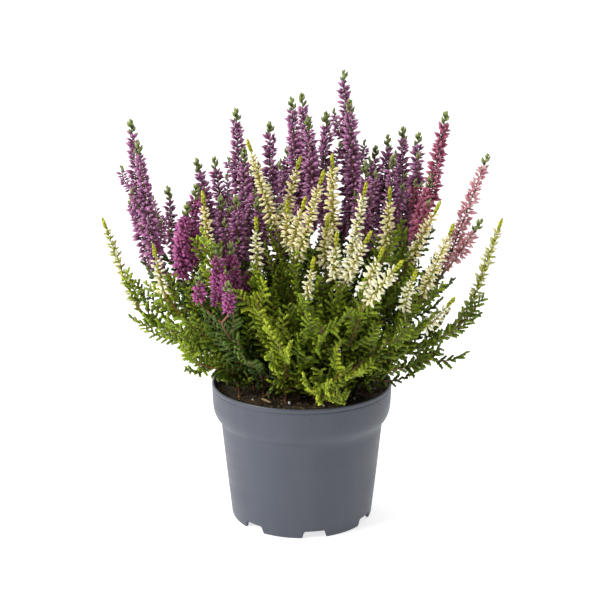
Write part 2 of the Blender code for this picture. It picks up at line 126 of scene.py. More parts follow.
# Each stem: its leaves, its leafy tips, then its sprays with their bloom, fullest radius and spikes.
PLAN = (
    ("left_purple", "dark", (), (
        ("purple_spray_far_left", "purple", 5.8,
         (((-111, 18, 264), (-101, 8, 172)), ((-104, -2, 252), (-94, -6, 174)))),
        ("purple_spray_left_short", "purple", 5.0, (((-90, 36, 217), (-85, 26, 168)),)))),
    ("left_magenta", "dark", (), (
        ("magenta_spray_left", "magenta", 6.2,
         (((-67, -10, 225), (-72, -10, 176)), ((-71, -30, 217), (-76, -23, 170)))),
        ("purple_spray_left_back", "purple", 6.0,
         (((-70, 32, 236), (-58, 22, 187)), ((-60, 56, 234), (-52, 38, 180)))))),
    ("left_white", "lime", ((-72, -36, 122),), (
        ("thin_spray_far_left", "cream", 3.4, (((-128, -6, 204), (-109, 0, 144)),)),
        ("white_spray_left", "white", 5.6, (((-91, -44, 194), (-86, -37, 162)),)),
        ("cream_spray_left", "cream", 5.0, (((-60, -46, 227), (-57, -38, 190)),)))),
    ("centre_left_purple", "dark", (), (
        ("purple_spray_centre_left", "purple", 6.2,
         (((-44, 42, 269), (-39, 28, 184)), ((-38, 24, 244), (-36, 16, 186)))),
        ("purple_spray_centre_left_low", "purple", 6.0,
         (((-52, -1, 216), (-50, -4, 173)), ((-42, -7, 217), (-40, -8, 174)))))),
    ("centre_purple", "dark", (), (
        ("purple_spray_centre", "purple", 6.2,
         (((-22, 52, 259), (-19, 36, 190)), ((-10, 68, 240), (-10, 46, 184)))),
        ("purple_spray_centre_low", "purple", 5.4,
         (((-29, 7, 214), (-25, 5, 172)), ((-14, 12, 207), (-16, 9, 172)))))),
    ("middle_purple", "dark", (), (
        ("purple_spray_middle", "purple", 6.2,
         (((-7, 32, 277), (-1, 24, 206)), ((0, 50, 278), (6, 35, 203)), ((4, 15, 266), (7, 13, 198)))),)),
    ("tall_purple", "dark", (), (
        ("purple_spray_tall", "purple", 6.2,
         (((28, 46, 294), (31, 33, 204)), ((31, 24, 276), (33, 20, 200)), ((16, 36, 267), (19, 27, 195)))),
        ("purple_spray_right_centre", "purple", 5.8,
         (((41, 3, 238), (40, 1, 188)), ((51, 62, 241), (47, 44, 180)))))),
    ("right_purple", "dark", (), (
        ("purple_spray_right", "purple", 6.0,
         (((58, 42, 251), (53, 30, 186)), ((60, 20, 240), (56, 12, 186)))),
        ("purple_spray_far_right", "purple", 6.2,
         (((69, 56, 255), (68, 40, 181)), ((78, 39, 253), (72, 27, 184)))))),
    ("right_rose", "dark", (), (
        ("rose_spray", "rose", 6.2, (((93, 15, 269), (79, 6, 194)), ((84, 7, 229), (74, 3, 190)))),
        ("pink_spray", "pink", 6.0, (((121, 14, 242), (95, 9, 169)), ((116, 2, 200), (100, 4, 174)))))),
    ("front_magenta", "dark", ((-40, -52, 136),), (
        ("magenta_spray_front", "magenta", 6.0,
         (((-51, -50, 195), (-51, -38, 155)), ((-44, -37, 193), (-43, -28, 155)))),
        ("magenta_spray_front_low", "magenta", 5.4,
         (((-44, -69, 176), (-45, -56, 153)), ((-62, -58, 179), (-62, -48, 157)))))),
    ("centre_white", "green", (), (
        ("cream_spray_centre", "cream", 5.8,
         (((-34, -16, 255), (-17, -12, 198)), ((-1, -7, 243), (-12, -8, 199)))),
        ("white_spray_centre", "white", 5.6, (((-28, -45, 211), (-28, -37, 176)),)))),
    ("front_cream", "green", ((12, -64, 148),), (
        ("cream_spray_front", "cream", 5.6,
         (((-9, -27, 218), (-9, -24, 190)), ((2, -36, 222), (-6, -30, 189)),
          ((13, -42, 239), (-3, -37, 184)))),
        ("white_spray_front", "white", 4.8, (((7, -67, 191), (3, -58, 165)),)))),
    ("middle_cream", "green", (), (
        ("cream_spray_middle", "cream", 6.2,
         (((19, -15, 246), (19, -14, 190)), ((16, -30, 209), (14, -26, 178)))),)),
    ("right_white", "green", (), (
        ("white_spray_right", "white", 6.0,
         (((39, -45, 233), (26, -42, 168)), ((41, -63, 206), (27, -56, 176)),
          ((21, -52, 203), (20, -48, 174)))),
        ("cream_spray_right", "cream", 6.0, (((55, -22, 226), (53, -20, 186)),)))),
    ("front_right_white", "green", ((52, -54, 138),), (
        ("white_spray_front_right", "white", 6.2,
         (((48, -72, 198), (38, -62, 170)), ((58, -84, 193), (40, -70, 166)))),
        ("cream_spray_far_right", "cream", 5.8, (((87, -17, 216), (68, -15, 176)),)))),
    ("far_right_white", "green", ((88, -14, 116),), (
        ("cream_spray_low_right", "cream", 6.0, (((94, -33, 205), (76, -28, 158)),)),
        ("white_spray_low_right", "white", 5.6,
         (((68, -66, 183), (62, -55, 157)), ((93, -54, 163), (77, -46, 142)))),
        ("thin_spray_far_right", "cream", 3.6, (((127, -14, 205), (106, -9, 137)),)))),
    ("back_left", "green", ((-48, 58, 126),), (
        ("purple_spray_back_left", "purple", 6.0,
         (((-34, 78, 228), (-26, 60, 172)), ((-52, 76, 206), (-40, 58, 158)))),
        ("white_spray_back_left", "white", 5.8,
         (((-84, 62, 190), (-68, 48, 146)), ((-68, 74, 178), (-56, 58, 144)))))),
    ("back_right", "green", ((22, 70, 130),), (
        ("purple_spray_back", "purple", 6.0, (((-2, 84, 226), (0, 62, 174)), ((20, 82, 214), (15, 62, 168)))),
        ("cream_spray_back_right", "cream", 5.8,
         (((44, 84, 196), (36, 64, 150)), ((72, 74, 190), (58, 56, 146)))))),
    ("front_lime", "lime", ((-28, -55, 164), (-14, -58, 140)), ()),
    ("rim_lime", "lime", ((27, -60, 120), (10, -66, 106)), ()),
)


def read_plan() -> list[Stem]:
    """Turns the plan's plain table into stems.

    Returns:
        The stems in the plan's order.
    """
    stems = []
    for name, leaf, tips, sprays in PLAN:
        made = tuple(Spray(spray, Bloom(bloom), radius, tuple(Spike(tip, base) for tip, base in spikes))
                     for spray, bloom, radius, spikes in sprays)
        stems.append(Stem(name, Leaf(leaf), made, tips))
    return stems


# Curves


def steps(count: int) -> list[float]:
    """Even steps from 0 to 1."""
    return [i / count for i in range(count + 1)]


def middle_of(places: Sequence[Triple]) -> Vector:
    """The mean of some places."""
    return sum((Vector(place) for place in places), Vector()) / len(places)


def bezier(axis: Curve, t: float) -> Vector:
    """The point at a share of a cubic curve.

    Args:
        axis: The curve's four control points.
        t: The share, 0 to 1.

    Returns:
        The point.
    """
    p0, p1, p2, p3 = axis
    s = 1.0 - t
    return p0 * s**3 + p1 * 3 * s * s * t + p2 * 3 * s * t * t + p3 * t**3


def curve_points(axis: Curve, count: int, low: float = 0.0, high: float = 1.0) -> list[Vector]:
    """Evenly stepped points on a cubic curve from low to high, count steps long."""
    return [bezier(axis, low + (high - low) * i / count) for i in range(count + 1)]


def aside(along: Vector, turn: float) -> Vector:
    """The direction square to a line that lies at a turn round it."""
    side = along.orthogonal().normalized()
    return side * math.cos(turn) + along.cross(side) * math.sin(turn)


@dataclass(frozen=True)
class Growth:
    """Where stems root and how branches and spikes curve: the rules that the CAD solids follow too."""

    soil_top: float = 86.0
    trunk_rise: float = 7.0
    root_reach: float = 0.5
    root_limit: float = 43.0
    fork_drop: float = 11.0
    upright_share: float = 0.38
    entry_share: float = 0.32
    spike_share: float = 0.35
    spike_bow: float = 0.35
    joint: float = 1.0
    neck: float = 4.0
    tuft: float = 9.0

    def root(self, stem: Stem) -> Vector:
        """The place in the peat, below the middle of what the stem carries.

        Args:
            stem: The stem to place.

        Returns:
            A point at the peat's level.
        """
        ends = [spike.base for spray in stem.sprays for spike in spray.spikes]
        middle = middle_of(ends or stem.tips)
        spot = Vector((middle.x, middle.y)) * self.root_reach
        if spot.length > self.root_limit:
            spot = spot.normalized() * self.root_limit
        return Vector((spot.x, spot.y, self.soil_top))

    def foot(self, spray: Spray, root: Vector) -> tuple[Vector, Vector]:
        """Where a spray sits on its stem.

        Args:
            spray: The spray.
            root: The stem's root.

        Returns:
            The place, and the direction that the stem has there.
        """
        middle = middle_of([spike.base for spike in spray.spikes])
        towards = (middle - root).normalized()
        if len(spray.spikes) > 1:
            middle = middle - towards * self.fork_drop
        tips = middle_of([spike.tip for spike in spray.spikes])
        return middle, (towards + (tips - middle).normalized()).normalized()

    def branch(self, root: Vector, end: Vector, along: Vector) -> Curve:
        """A branch's curve, which leaves the soil upright and meets its spray head on.

        Args:
            root: The stem's root.
            end: The branch's end.
            along: The branch's direction at that end.

        Returns:
            Four control points.
        """
        start = Vector((root.x, root.y, self.soil_top + self.trunk_rise * 0.5))
        reach = (end - start).length
        upright = Vector((0.0, 0.0, self.upright_share * reach))
        return start, start + upright, end - along * reach * self.entry_share, end

    def forked(self, spike: Spike, foot: Vector) -> bool:
        """Whether a spike has a stalk between its foot and its bloom."""
        return (Vector(spike.base) - foot).length > self.joint

    def spike(self, spike: Spike, foot: Vector, along: Vector) -> Curve:
        """The curve of a spike from the lower end of its bloom to its tip.

        Args:
            spike: The spike.
            foot: The spray's foot.
            along: The stem's direction there.

        Returns:
            Four control points.
        """
        tip = Vector(spike.tip)
        base = Vector(spike.base)
        rise = (tip - base).normalized()
        span = (tip - base).length
        start = (base - foot).normalized() if self.forked(spike, foot) else along
        entry = (rise + start * self.spike_bow).normalized()
        return base, base + entry * span * self.spike_share, tip - rise * span * self.spike_share, tip


GROWTH = Growth()


# Node trees


class Wires:
    """Short ways to add and join nodes in one tree."""

    def __init__(self, tree: Tree) -> None:
        """Keeps the tree and clears it."""
        self.tree = tree
        tree.nodes.clear()

    def set(self, socket: Socket, value: object) -> None:
        """Joins an input to another socket, or gives it a plain value.

        Args:
            socket: The input.
            value: A socket, a number, a vector or a colour, which may leave out its alpha.
        """
        if isinstance(value, bpy.types.NodeSocket):
            self.tree.links.new(value, socket)
        elif socket.type == "RGBA" and len(value) == 3:
            socket.default_value = (*value, 1.0)
        else:
            socket.default_value = value

    def add(self, kind: str, links: dict | None = None, **options: object) -> Node:
        """Adds a node.

        Args:
            kind: The node's type.
            links: For each input, by name or number, an output socket to join or a plain value.
            options: Properties of the node.

        Returns:
            The node.
        """
        node = self.tree.nodes.new(kind)
        for key, value in options.items():
            setattr(node, key, value)
        for key, value in (links or {}).items():
            self.set(node.inputs[key], value)
        return node

    def math(self, operation: str, first: object, second: object = 0.0, third: object = 0.0) -> Socket:
        """A Math node's result for up to three sockets or numbers."""
        return self.add("ShaderNodeMath", {0: first, 1: second, 2: third}, operation=operation).outputs[0]

    def start(self) -> tuple[bpy.types.bpy_prop_collection, Node]:
        """The group's own inputs, and the node that gives its results."""
        return self.add("NodeGroupInput").outputs, self.add("NodeGroupOutput")


def new_group(name: str, kind: str, inputs: dict[str, object], outputs: Sequence[tuple[str, str]]) -> Wires:
    """Starts a node group with named sockets.

    Args:
        name: The group's name.
        kind: The type of its tree.
        inputs: For each input, its default value, or a word for a kind that has none.
        outputs: Each output's name and a word for its kind.

    Returns:
        The group's wires.
    """
    tree = bpy.data.node_groups.new(name, kind)
    for label, value in inputs.items():
        if isinstance(value, str):
            tree.interface.new_socket(label, in_out="INPUT", socket_type=f"NodeSocket{value}")
            continue
        word = "Int" if isinstance(value, int) else "Float"
        if isinstance(value, tuple):
            word = "Color" if len(value) == 4 else "Vector"
        socket = tree.interface.new_socket(label, in_out="INPUT", socket_type=f"NodeSocket{word}")
        socket.default_value = value
    for label, word in outputs:
        tree.interface.new_socket(label, in_out="OUTPUT", socket_type=f"NodeSocket{word}")
    return Wires(tree)


class GrowthWires(Wires):
    """The wires of one Geometry Nodes tree."""

    def __init__(self, name: str, inputs: dict[str, object]) -> None:
        """Starts a tree that takes and gives one geometry.

        Args:
            name: The tree's name.
            inputs: Its further inputs, as for a new group.
        """
        group = new_group(name, "GeometryNodeTree", {"Geometry": "Geometry"} | inputs,
                          (("Geometry", "Geometry"),))
        super().__init__(group.tree)
        self.given, self.result = self.start()

    def value(self, name: str, kind: str = "FLOAT") -> Socket:
        """A named attribute of the geometry."""
        return self.add("GeometryNodeInputNamedAttribute", {"Name": name}, data_type=kind).outputs[0]

    def chance(self, low: float, high: float, seed: object) -> Socket:
        """A random number between two limits."""
        return self.add("FunctionNodeRandomValue", {2: low, 3: high, "Seed": seed},
                        data_type="FLOAT").outputs[1]

    def shape(self, name: str) -> Socket:
        """The mesh of an Object input."""
        return self.add("GeometryNodeObjectInfo", {"Object": self.given[name]},
                        transform_space="ORIGINAL").outputs["Geometry"]

    def join(self, parts: Sequence[Socket]) -> Socket:
        """Joins geometries in the order given.

        Args:
            parts: The geometries.

        Returns:
            All of them as one.
        """
        joined = self.add("GeometryNodeJoinGeometry")
        for part in parts:
            self.tree.links.new(part, joined.inputs[0])
        return joined.outputs[0]

    def pick(self, points: Socket, shapes: Sequence[Socket], number: Socket, turn: Socket, size: Socket,
             tone: Socket) -> Socket:
        """Sets one of several shapes on each point, with a tone of its own.

        Args:
            points: The points.
            shapes: The shapes, last one first.
            number: Which shape each point takes.
            turn: Its rotation.
            size: Its size.
            tone: Its tone, 0 to 1.

        Returns:
            The instances.
        """
        singles = [self.add("GeometryNodeGeometryToInstance", {0: shape}).outputs[0] for shape in shapes]
        placed = self.add("GeometryNodeInstanceOnPoints", {
            "Points": points, "Instance": self.join(singles), "Pick Instance": True, "Instance Index": number,
            "Rotation": turn, "Scale": size})
        return self.add("GeometryNodeStoreNamedAttribute", {
            "Geometry": placed.outputs[0], "Name": "tone", "Value": tone},
            data_type="FLOAT", domain="INSTANCE").outputs[0]

    def finish(self, geometry: Socket, name: str) -> Socket:
        """Makes a geometry real and gives it the material of one of the inputs."""
        real = self.add("GeometryNodeRealizeInstances", {0: geometry}).outputs[0]
        return self.add("GeometryNodeSetMaterial", {0: real, "Material": self.given[name]}).outputs[0]

    def end(self, geometry: Socket) -> Tree:
        """Gives the geometry out and returns the tree."""
        self.set(self.result.inputs[0], geometry)
        return self.tree


class GrowthTrees:
    """The Geometry Nodes trees that set flowers, leaves and twigs along a skeleton, each built once."""

    @cached_property
    def whorl(self) -> Tree:
        """Shapes set round curves at a golden angle, leaning more towards the tip.

        Returns:
            The tree.
        """
        wires = GrowthWires("Whorl", {
            "Shape": "Geometry", "Second shape": "Geometry", "Second share": 0.0, "Spacing": 0.001,
            "Turn": GOLDEN, "Turn wobble": 0.4, "Lean at foot": 1.2, "Lean at tip": 0.6, "Lean wobble": 0.2,
            "Size": 1.0, "Size wobble": 0.2, "Seed": 0})
        given = wires.given
        points = wires.add("GeometryNodeCurveToPoints", {
            "Curve": given["Geometry"], "Length": given["Spacing"]}, mode="LENGTH").outputs
        seeds = [wires.math("ADD", given["Seed"], float(salt)) for salt in range(1, 6)]
        swing, nod, vary = (wires.math("MULTIPLY", wires.chance(-1.0, 1.0, seed), given[wobble])
                            for seed, wobble in zip(seeds, ("Turn wobble", "Lean wobble", "Size wobble")))
        facing = wires.add("FunctionNodeAlignRotationToVector", {"Vector": points["Tangent"]}, axis="Z")
        index = wires.add("GeometryNodeInputIndex").outputs[0]
        turn = wires.math("ADD", wires.math("MULTIPLY", index, given["Turn"]), swing)
        around = wires.add("ShaderNodeCombineXYZ", {"Z": turn})
        lean = wires.add("ShaderNodeMix", {0: wires.value("climb"), 2: given["Lean at foot"],
                                           3: given["Lean at tip"]}, data_type="FLOAT")
        tilt = wires.add("ShaderNodeCombineXYZ", {"Y": wires.math("ADD", lean.outputs[0], nod)})
        way = facing.outputs[0]
        for angles in (around, tilt):
            way = wires.add("FunctionNodeRotateRotation", {0: way, 1: angles.outputs[0]},
                            rotation_space="LOCAL").outputs[0]
        size = wires.math("MULTIPLY", wires.math("ADD", vary, 1.0), given["Size"])
        size = wires.math("MULTIPLY", size, wires.value("full"))
        second = wires.math("LESS_THAN", wires.chance(0.0, 1.0, seeds[3]), given["Second share"])
        placed = wires.pick(points["Points"], (given["Second shape"], given["Shape"]), second, way, size,
                            wires.chance(0.0, 1.0, seeds[4]))
        return wires.end(placed)

    def set_whorl(self, wires: GrowthWires, curve: Socket, finish: str, values: dict[str, object]) -> Socket:
        """Places the whorl group, makes its instances real and gives them a finish.

        Args:
            wires: The tree's wires.
            curve: The curves to follow.
            finish: The name of the tree's material input.
            values: Inputs of the whorl: a number, a socket, or a name of one of the tree's inputs.

        Returns:
            The finished geometry.
        """
        links = {key: wires.given[value] if isinstance(value, str) else value
                 for key, value in values.items()}
        links = {"Geometry": curve, "Seed": wires.given["Seed"]} | links
        if "Second shape" not in links:
            links["Second shape"] = links["Shape"]
        return wires.finish(wires.add("GeometryNodeGroup", links, node_tree=self.whorl).outputs[0], finish)

    def chain(self, wires: GrowthWires, zone: Zone) -> Socket:
        """The skeleton's chains of one zone, as curves.

        Args:
            wires: The tree's wires.
            zone: The zone.

        Returns:
            The curves.
        """
        same = wires.add("FunctionNodeCompare", {2: wires.value("zone", "INT"), 3: zone.value},
                         data_type="INT", operation="EQUAL")
        split = wires.add("GeometryNodeSeparateGeometry", {"Geometry": wires.given["Geometry"],
                                                           "Selection": same.outputs[0]}, domain="POINT")
        return wires.add("GeometryNodeMeshToCurve", {"Mesh": split.outputs["Selection"]}).outputs[0]

    def twigs(self, wires: GrowthWires, sides: int) -> Socket:
        """The wood: a tapered closed tube along each chain, as thick as its girth attribute.

        Args:
            wires: The tree's wires.
            sides: The number of the tube's sides.

        Returns:
            The finished geometry.
        """
        ring = wires.add("GeometryNodeCurvePrimitiveCircle", {"Resolution": sides, "Radius": 1.0},
                         mode="RADIUS")
        skin = wires.add("GeometryNodeCurveToMesh", {
            "Curve": self.chain(wires, Zone.WOOD), "Profile Curve": ring.outputs[0],
            "Scale": wires.value("girth"), "Fill Caps": True})
        tone = wires.add("GeometryNodeStoreNamedAttribute", {
            "Geometry": skin.outputs[0], "Name": "tone", "Value": 0.5}, data_type="FLOAT", domain="POINT")
        smooth = wires.add("GeometryNodeSetShadeSmooth", {"Geometry": tone.outputs[0], "Shade Smooth": True})
        return wires.finish(smooth.outputs[0], "Wood finish")

    @cached_property
    def spray(self) -> Tree:
        """The tree of a flower spray.

        Returns:
            The tree.
        """
        shapes = ("Bud", "Second bud", "Bract", "Crown leaf")
        finishes = ("Bud finish", "Leaf finish", "Wood finish")
        given = dict.fromkeys(shapes, "Object") | dict.fromkeys(finishes, "Material")
        wires = GrowthWires("Flower spray", given | {
            "Seed": 0, "Bud spacing": 0.0006, "Bud size": 1.0, "Second share": 0.1, "Lean at foot": 1.75,
            "Lean at tip": 0.85, "Bract spacing": 0.0012, "Bract size": 1.0, "Crown spacing": 0.0009,
            "Crown size": 1.0, "Crown lean": 0.7})
        bloom = self.chain(wires, Zone.FLOWERS)
        return wires.end(wires.join((
            self.twigs(wires, 6),
            self.set_whorl(wires, bloom, "Bud finish", {
                "Shape": wires.shape("Bud"), "Second shape": wires.shape("Second bud"),
                "Second share": "Second share", "Spacing": "Bud spacing", "Lean at foot": "Lean at foot",
                "Lean at tip": "Lean at tip", "Lean wobble": 0.26, "Turn wobble": 0.35, "Size": "Bud size"}),
            self.set_whorl(wires, bloom, "Leaf finish", {
                "Shape": wires.shape("Bract"), "Spacing": "Bract spacing", "Lean at foot": 0.7,
                "Lean at tip": 0.45, "Size": "Bract size", "Size wobble": 0.25}),
            self.set_whorl(wires, self.chain(wires, Zone.CROWN), "Leaf finish", {
                "Shape": wires.shape("Crown leaf"), "Spacing": "Crown spacing", "Turn": QUARTER + 0.12,
                "Turn wobble": 0.15, "Lean at foot": "Crown lean", "Lean at tip": 0.3, "Lean wobble": 0.1,
                "Size": "Crown size", "Size wobble": 0.12}))))

    @cached_property
    def stem(self) -> Tree:
        """The tree of a leafy stem.

        Returns:
            The tree.
        """
        shapes = ("Sprig", "Second sprig", "Scale leaf")
        finishes = ("Leaf finish", "Wood finish")
        given = dict.fromkeys(shapes, "Object") | dict.fromkeys(finishes, "Material")
        wires = GrowthWires("Leafy stem", given | {
            "Seed": 0, "Sprig spacing": 0.0034, "Sprig size": 1.0, "Scale spacing": 0.0009})
        return wires.end(wires.join((
            self.twigs(wires, 5),
            self.set_whorl(wires, self.chain(wires, Zone.SPRIGS), "Leaf finish", {
                "Shape": wires.shape("Sprig"), "Second shape": wires.shape("Second sprig"),
                "Second share": 0.5, "Spacing": "Sprig spacing", "Turn": math.radians(173.0),
                "Turn wobble": 0.3,
                "Lean at foot": 0.85, "Lean at tip": 0.55, "Lean wobble": 0.1, "Size": "Sprig size",
                "Size wobble": 0.22}),
            self.set_whorl(wires, self.chain(wires, Zone.SCALES), "Leaf finish", {
                "Shape": wires.shape("Scale leaf"), "Spacing": "Scale spacing", "Turn": QUARTER + 0.06,
                "Turn wobble": 0.2, "Lean at foot": 0.5, "Lean at tip": 0.3, "Lean wobble": 0.12}))))

    @cached_property
    def litter(self) -> Tree:
        """The tree that strews crumbs and fibres over the peat.

        Returns:
            The tree.
        """
        wires = GrowthWires("Peat litter", {"Crumb": "Object", "Fibre": "Object", "Finish": "Material",
                                            "Density": 90000.0, "Fibre share": 0.3, "Seed": 3})
        given = wires.given
        spots = wires.add("GeometryNodeDistributePointsOnFaces", {
            "Mesh": given["Geometry"], "Selection": wires.value("top"), "Density": given["Density"],
            "Seed": given["Seed"]})
        fibre = wires.math("LESS_THAN", wires.chance(0.0, 1.0, 11), given["Fibre share"])
        spin = wires.add("FunctionNodeRandomValue", {
            0: (-0.5, -0.5, 0.0), 1: (0.5, 0.5, math.tau), "Seed": 12}, data_type="FLOAT_VECTOR")
        strewn = wires.pick(spots.outputs["Points"], (wires.shape("Fibre"), wires.shape("Crumb")), fibre,
                            spin.outputs[0], wires.chance(0.45, 1.25, 13), wires.chance(0.0, 1.0, 14))
        return wires.end(wires.finish(wires.join((strewn, given["Geometry"])), "Finish"))


# Finishes


class EffectGroups:
    """The shader node groups that several finishes share, each built once."""

    @cached_property
    def tone(self) -> Tree:
        """Colour that differs from leaf to leaf and a little within each.

        Returns:
            The tree.
        """
        grey = (0.5, 0.5, 0.5, 1.0)
        wires = new_group("Tone", "ShaderNodeTree", {"Colour": grey, "Other colour": grey, "Spread": 0.6,
                                                     "Mottle scale": 600.0, "Mottle": 0.2},
                          (("Colour", "Color"), ("Tone", "Float")))
        given, result = wires.start()
        own = wires.add("ShaderNodeAttribute", attribute_name="tone").outputs["Fac"]
        place = wires.add("ShaderNodeTexCoord").outputs["Object"]
        share = wires.math("MULTIPLY", own, given["Spread"])
        for scale, detail, weight in ((given["Mottle scale"], 2.0, given["Mottle"]), (45.0, 1.0, 0.8)):
            spots = wires.add("ShaderNodeTexNoise", {"Vector": place, "Scale": scale, "Detail": detail})
            share = wires.math("MULTIPLY_ADD", wires.math("SUBTRACT", spots.outputs[0], 0.5), weight, share)
        held = wires.add("ShaderNodeClamp", {0: share}).outputs[0]
        mixed = wires.add("ShaderNodeMix", {0: held, 6: given["Colour"], 7: given["Other colour"]},
                          data_type="RGBA")
        wires.set(result.inputs["Colour"], mixed.outputs[2])
        wires.set(result.inputs["Tone"], held)
        return wires.tree

    @cached_property
    def grain(self) -> Tree:
        """A fine uneven surface, as a height and a mask.

        Returns:
            The tree.
        """
        wires = new_group("Fine grain", "ShaderNodeTree", {"Scale": 900.0, "Stretch": (1.0, 1.0, 1.0),
                                                           "Coarseness": 0.5},
                          (("Height", "Float"), ("Mask", "Float")))
        given, result = wires.start()
        place = wires.add("ShaderNodeTexCoord").outputs["Object"]
        drawn = wires.add("ShaderNodeVectorMath", {0: place, 1: given["Stretch"]},
                          operation="MULTIPLY").outputs[0]
        fine = wires.add("ShaderNodeTexNoise", {"Vector": drawn, "Scale": given["Scale"], "Detail": 4.0,
                                                "Roughness": given["Coarseness"]}).outputs[0]
        wider = wires.math("MULTIPLY", given["Scale"], 0.12)
        broad = wires.add("ShaderNodeTexNoise", {"Vector": drawn, "Detail": 2.0, "Scale": wider}).outputs[0]
        wires.set(result.inputs["Height"], fine)
        wires.set(result.inputs["Mask"], wires.math("MULTIPLY", fine, broad))
        return wires.tree


GROUPS = EffectGroups()


class Coat(Wires):
    """The wires of one material, with its shader."""

    def __init__(self, name: str, rough: float, **shine: float) -> None:
        """Starts a material.

        Args:
            name: The material's name.
            rough: The shader's plain roughness.
            shine: Plain values of other shader inputs, with underscores for spaces.
        """
        self.material = bpy.data.materials.new(name)
        self.material.use_nodes = True
        super().__init__(self.material.node_tree)
        plain = {key.replace("_", " "): value for key, value in shine.items()}
        self.shader = self.add("ShaderNodeBsdfPrincipled", {"Roughness": rough} | plain)
        self.add("ShaderNodeOutputMaterial", {"Surface": self.shader.outputs[0]})

    def mark(self, name: str) -> Socket:
        """One of the mesh's attributes."""
        return self.add("ShaderNodeAttribute", attribute_name=name).outputs["Fac"]

    def ramp(self, value: Socket, low: float, high: float, start: float = 0.0, end: float = 1.0) -> Socket:
        """A value that runs from start to end while another runs from low to high."""
        return self.add("ShaderNodeMapRange", {0: value, 1: low, 2: high, 3: start, 4: end}).outputs[0]

    def mix(self, share: Socket, first: object, second: object, **options: object) -> Socket:
        """Two colours mixed by a share of the second."""
        return self.add("ShaderNodeMix", {0: share, 6: first, 7: second}, data_type="RGBA",
                        **options).outputs[2]

    def tone(self, first: Triple, second: Triple, spread: float, scale: float,
             mottle: float) -> bpy.types.bpy_prop_collection:
        """The outputs of the tone group."""
        return self.add("ShaderNodeGroup", {
            "Colour": first, "Other colour": second, "Spread": spread, "Mottle scale": scale,
            "Mottle": mottle}, node_tree=GROUPS.tone).outputs

    def grain(self, scale: float, output: str = "Height", **values: object) -> Socket:
        """An output of the fine grain group."""
        return self.add("ShaderNodeGroup", {"Scale": scale} | values, node_tree=GROUPS.grain).outputs[output]

    def dress(self, colour: Socket, height: Socket | None = None, strength: float = 0.0,
              distance: float = 0.0) -> Material:
        """Gives the shader its colour and its relief.

        Args:
            colour: The base colour.
            height: The relief, if it has any.
            strength: How strongly the relief shows.
            distance: The relief's depth in metres.

        Returns:
            The finished material.
        """
        self.set(self.shader.inputs["Base Color"], colour)
        if height:
            bump = self.add("ShaderNodeBump", {"Strength": strength, "Distance": distance, "Height": height})
            self.set(self.shader.inputs["Normal"], bump.outputs[0])
        return self.material


@dataclass(frozen=True)
class PetalFinish:
    """Buds and petals: one colour at the calyx, another along the bud and a lighter one at its point."""

    name: str
    calyx: Triple
    deep: Triple
    light: Triple
    point: Triple
    rough: float = 0.55
    sheen: float = 0.15
    glow: float = 0.12
    glow_depth: float = 0.002
    calyx_range: tuple[float, float] = (0.12, 0.4)
    point_range: tuple[float, float] = (0.55, 1.0)
    point_share: float = 0.75
    grain: float = 1500.0
    relief: float = 0.25
    relief_depth: float = 0.0002

    def build(self) -> Material:
        """Makes the material.

        Returns:
            The material.
        """
        coat = Coat(self.name, self.rough, Sheen_Weight=self.sheen, Subsurface_Weight=self.glow,
                    Subsurface_Scale=self.glow_depth)
        reach = coat.mark("reach")
        petal = coat.tone(self.deep, self.light, 0.9, 700.0, 0.5)["Colour"]
        body = coat.mix(coat.ramp(reach, *self.calyx_range), self.calyx, petal)
        whole = coat.mix(coat.ramp(reach, *self.point_range, 0.0, self.point_share), body, self.point)
        return coat.dress(whole, coat.grain(self.grain), self.relief, self.relief_depth)


@dataclass(frozen=True)
class LeafFinish:
    """Scale leaves: darker at their foot, darker low in the plant as partly older growth and partly painted
    shade of its dense interior, and lighter at the tips of the shoots.
    """

    name: str
    shade: Triple
    body: Triple
    young: Triple
    rough: float = 0.45
    shine: float = 0.28
    glow: float = 0.08
    glow_depth: float = 0.0015
    age_and_shade_range: tuple[float, float] = (0.15, 0.6)
    age_and_shade_share: float = 0.7
    grain: float = 1800.0
    relief: float = 0.3
    relief_depth: float = 0.0002

    def build(self) -> Material:
        """Makes the material.

        Returns:
            The material.
        """
        coat = Coat(self.name, self.rough, Specular_IOR_Level=self.shine, Subsurface_Weight=self.glow,
                    Subsurface_Scale=self.glow_depth)
        tone = coat.tone(self.shade, self.body, 1.0, 500.0, 0.6)
        climb = coat.mark("climb")
        # The young colour's share grows with height and with reach: partly fresh growth at the tips, partly
        # painted light on the outer shoots and painted shade low down and between the knobs of the sprigs.
        fresh_and_lit = coat.math("MULTIPLY", coat.math("MULTIPLY_ADD", climb, 0.75, 0.25), coat.mark("reach"))
        fresh_and_lit = coat.math("MULTIPLY", fresh_and_lit, coat.math("MULTIPLY_ADD", tone["Tone"], 0.7, 0.5))
        # Low in the plant the colour turns to the shade colour: partly older growth, partly painted shade of
        # the dense interior.
        old = coat.mix(coat.ramp(climb, *self.age_and_shade_range, self.age_and_shade_share, 0.0), tone["Colour"], self.shade)
        mixed = coat.mix(fresh_and_lit, old, self.young, clamp_factor=True)
        return coat.dress(mixed, coat.grain(self.grain), self.relief, self.relief_depth)


@dataclass(frozen=True)
class WoodFinish:
    """Thin bark: streaked along the twig, of another colour on young wood."""

    name: str
    dark: Triple
    light: Triple
    young: Triple
    rough: float = 0.75
    streak_range: tuple[float, float] = (0.35, 0.68)
    young_share: float = 0.8
    relief: float = 0.6
    relief_depth: float = 0.0004

    def build(self) -> Material:
        """Makes the material.

        Returns:
            The material.
        """
        coat = Coat(self.name, self.rough)
        streaks = coat.grain(900.0, Stretch=(1.0, 1.0, 0.25), Coarseness=0.7)
        bark = coat.mix(coat.ramp(streaks, *self.streak_range), self.dark, self.light)
        mixed = coat.mix(coat.ramp(coat.mark("climb"), 0.35, 1.0, 0.0, self.young_share), bark, self.young)
        return coat.dress(mixed, streaks, self.relief, self.relief_depth)


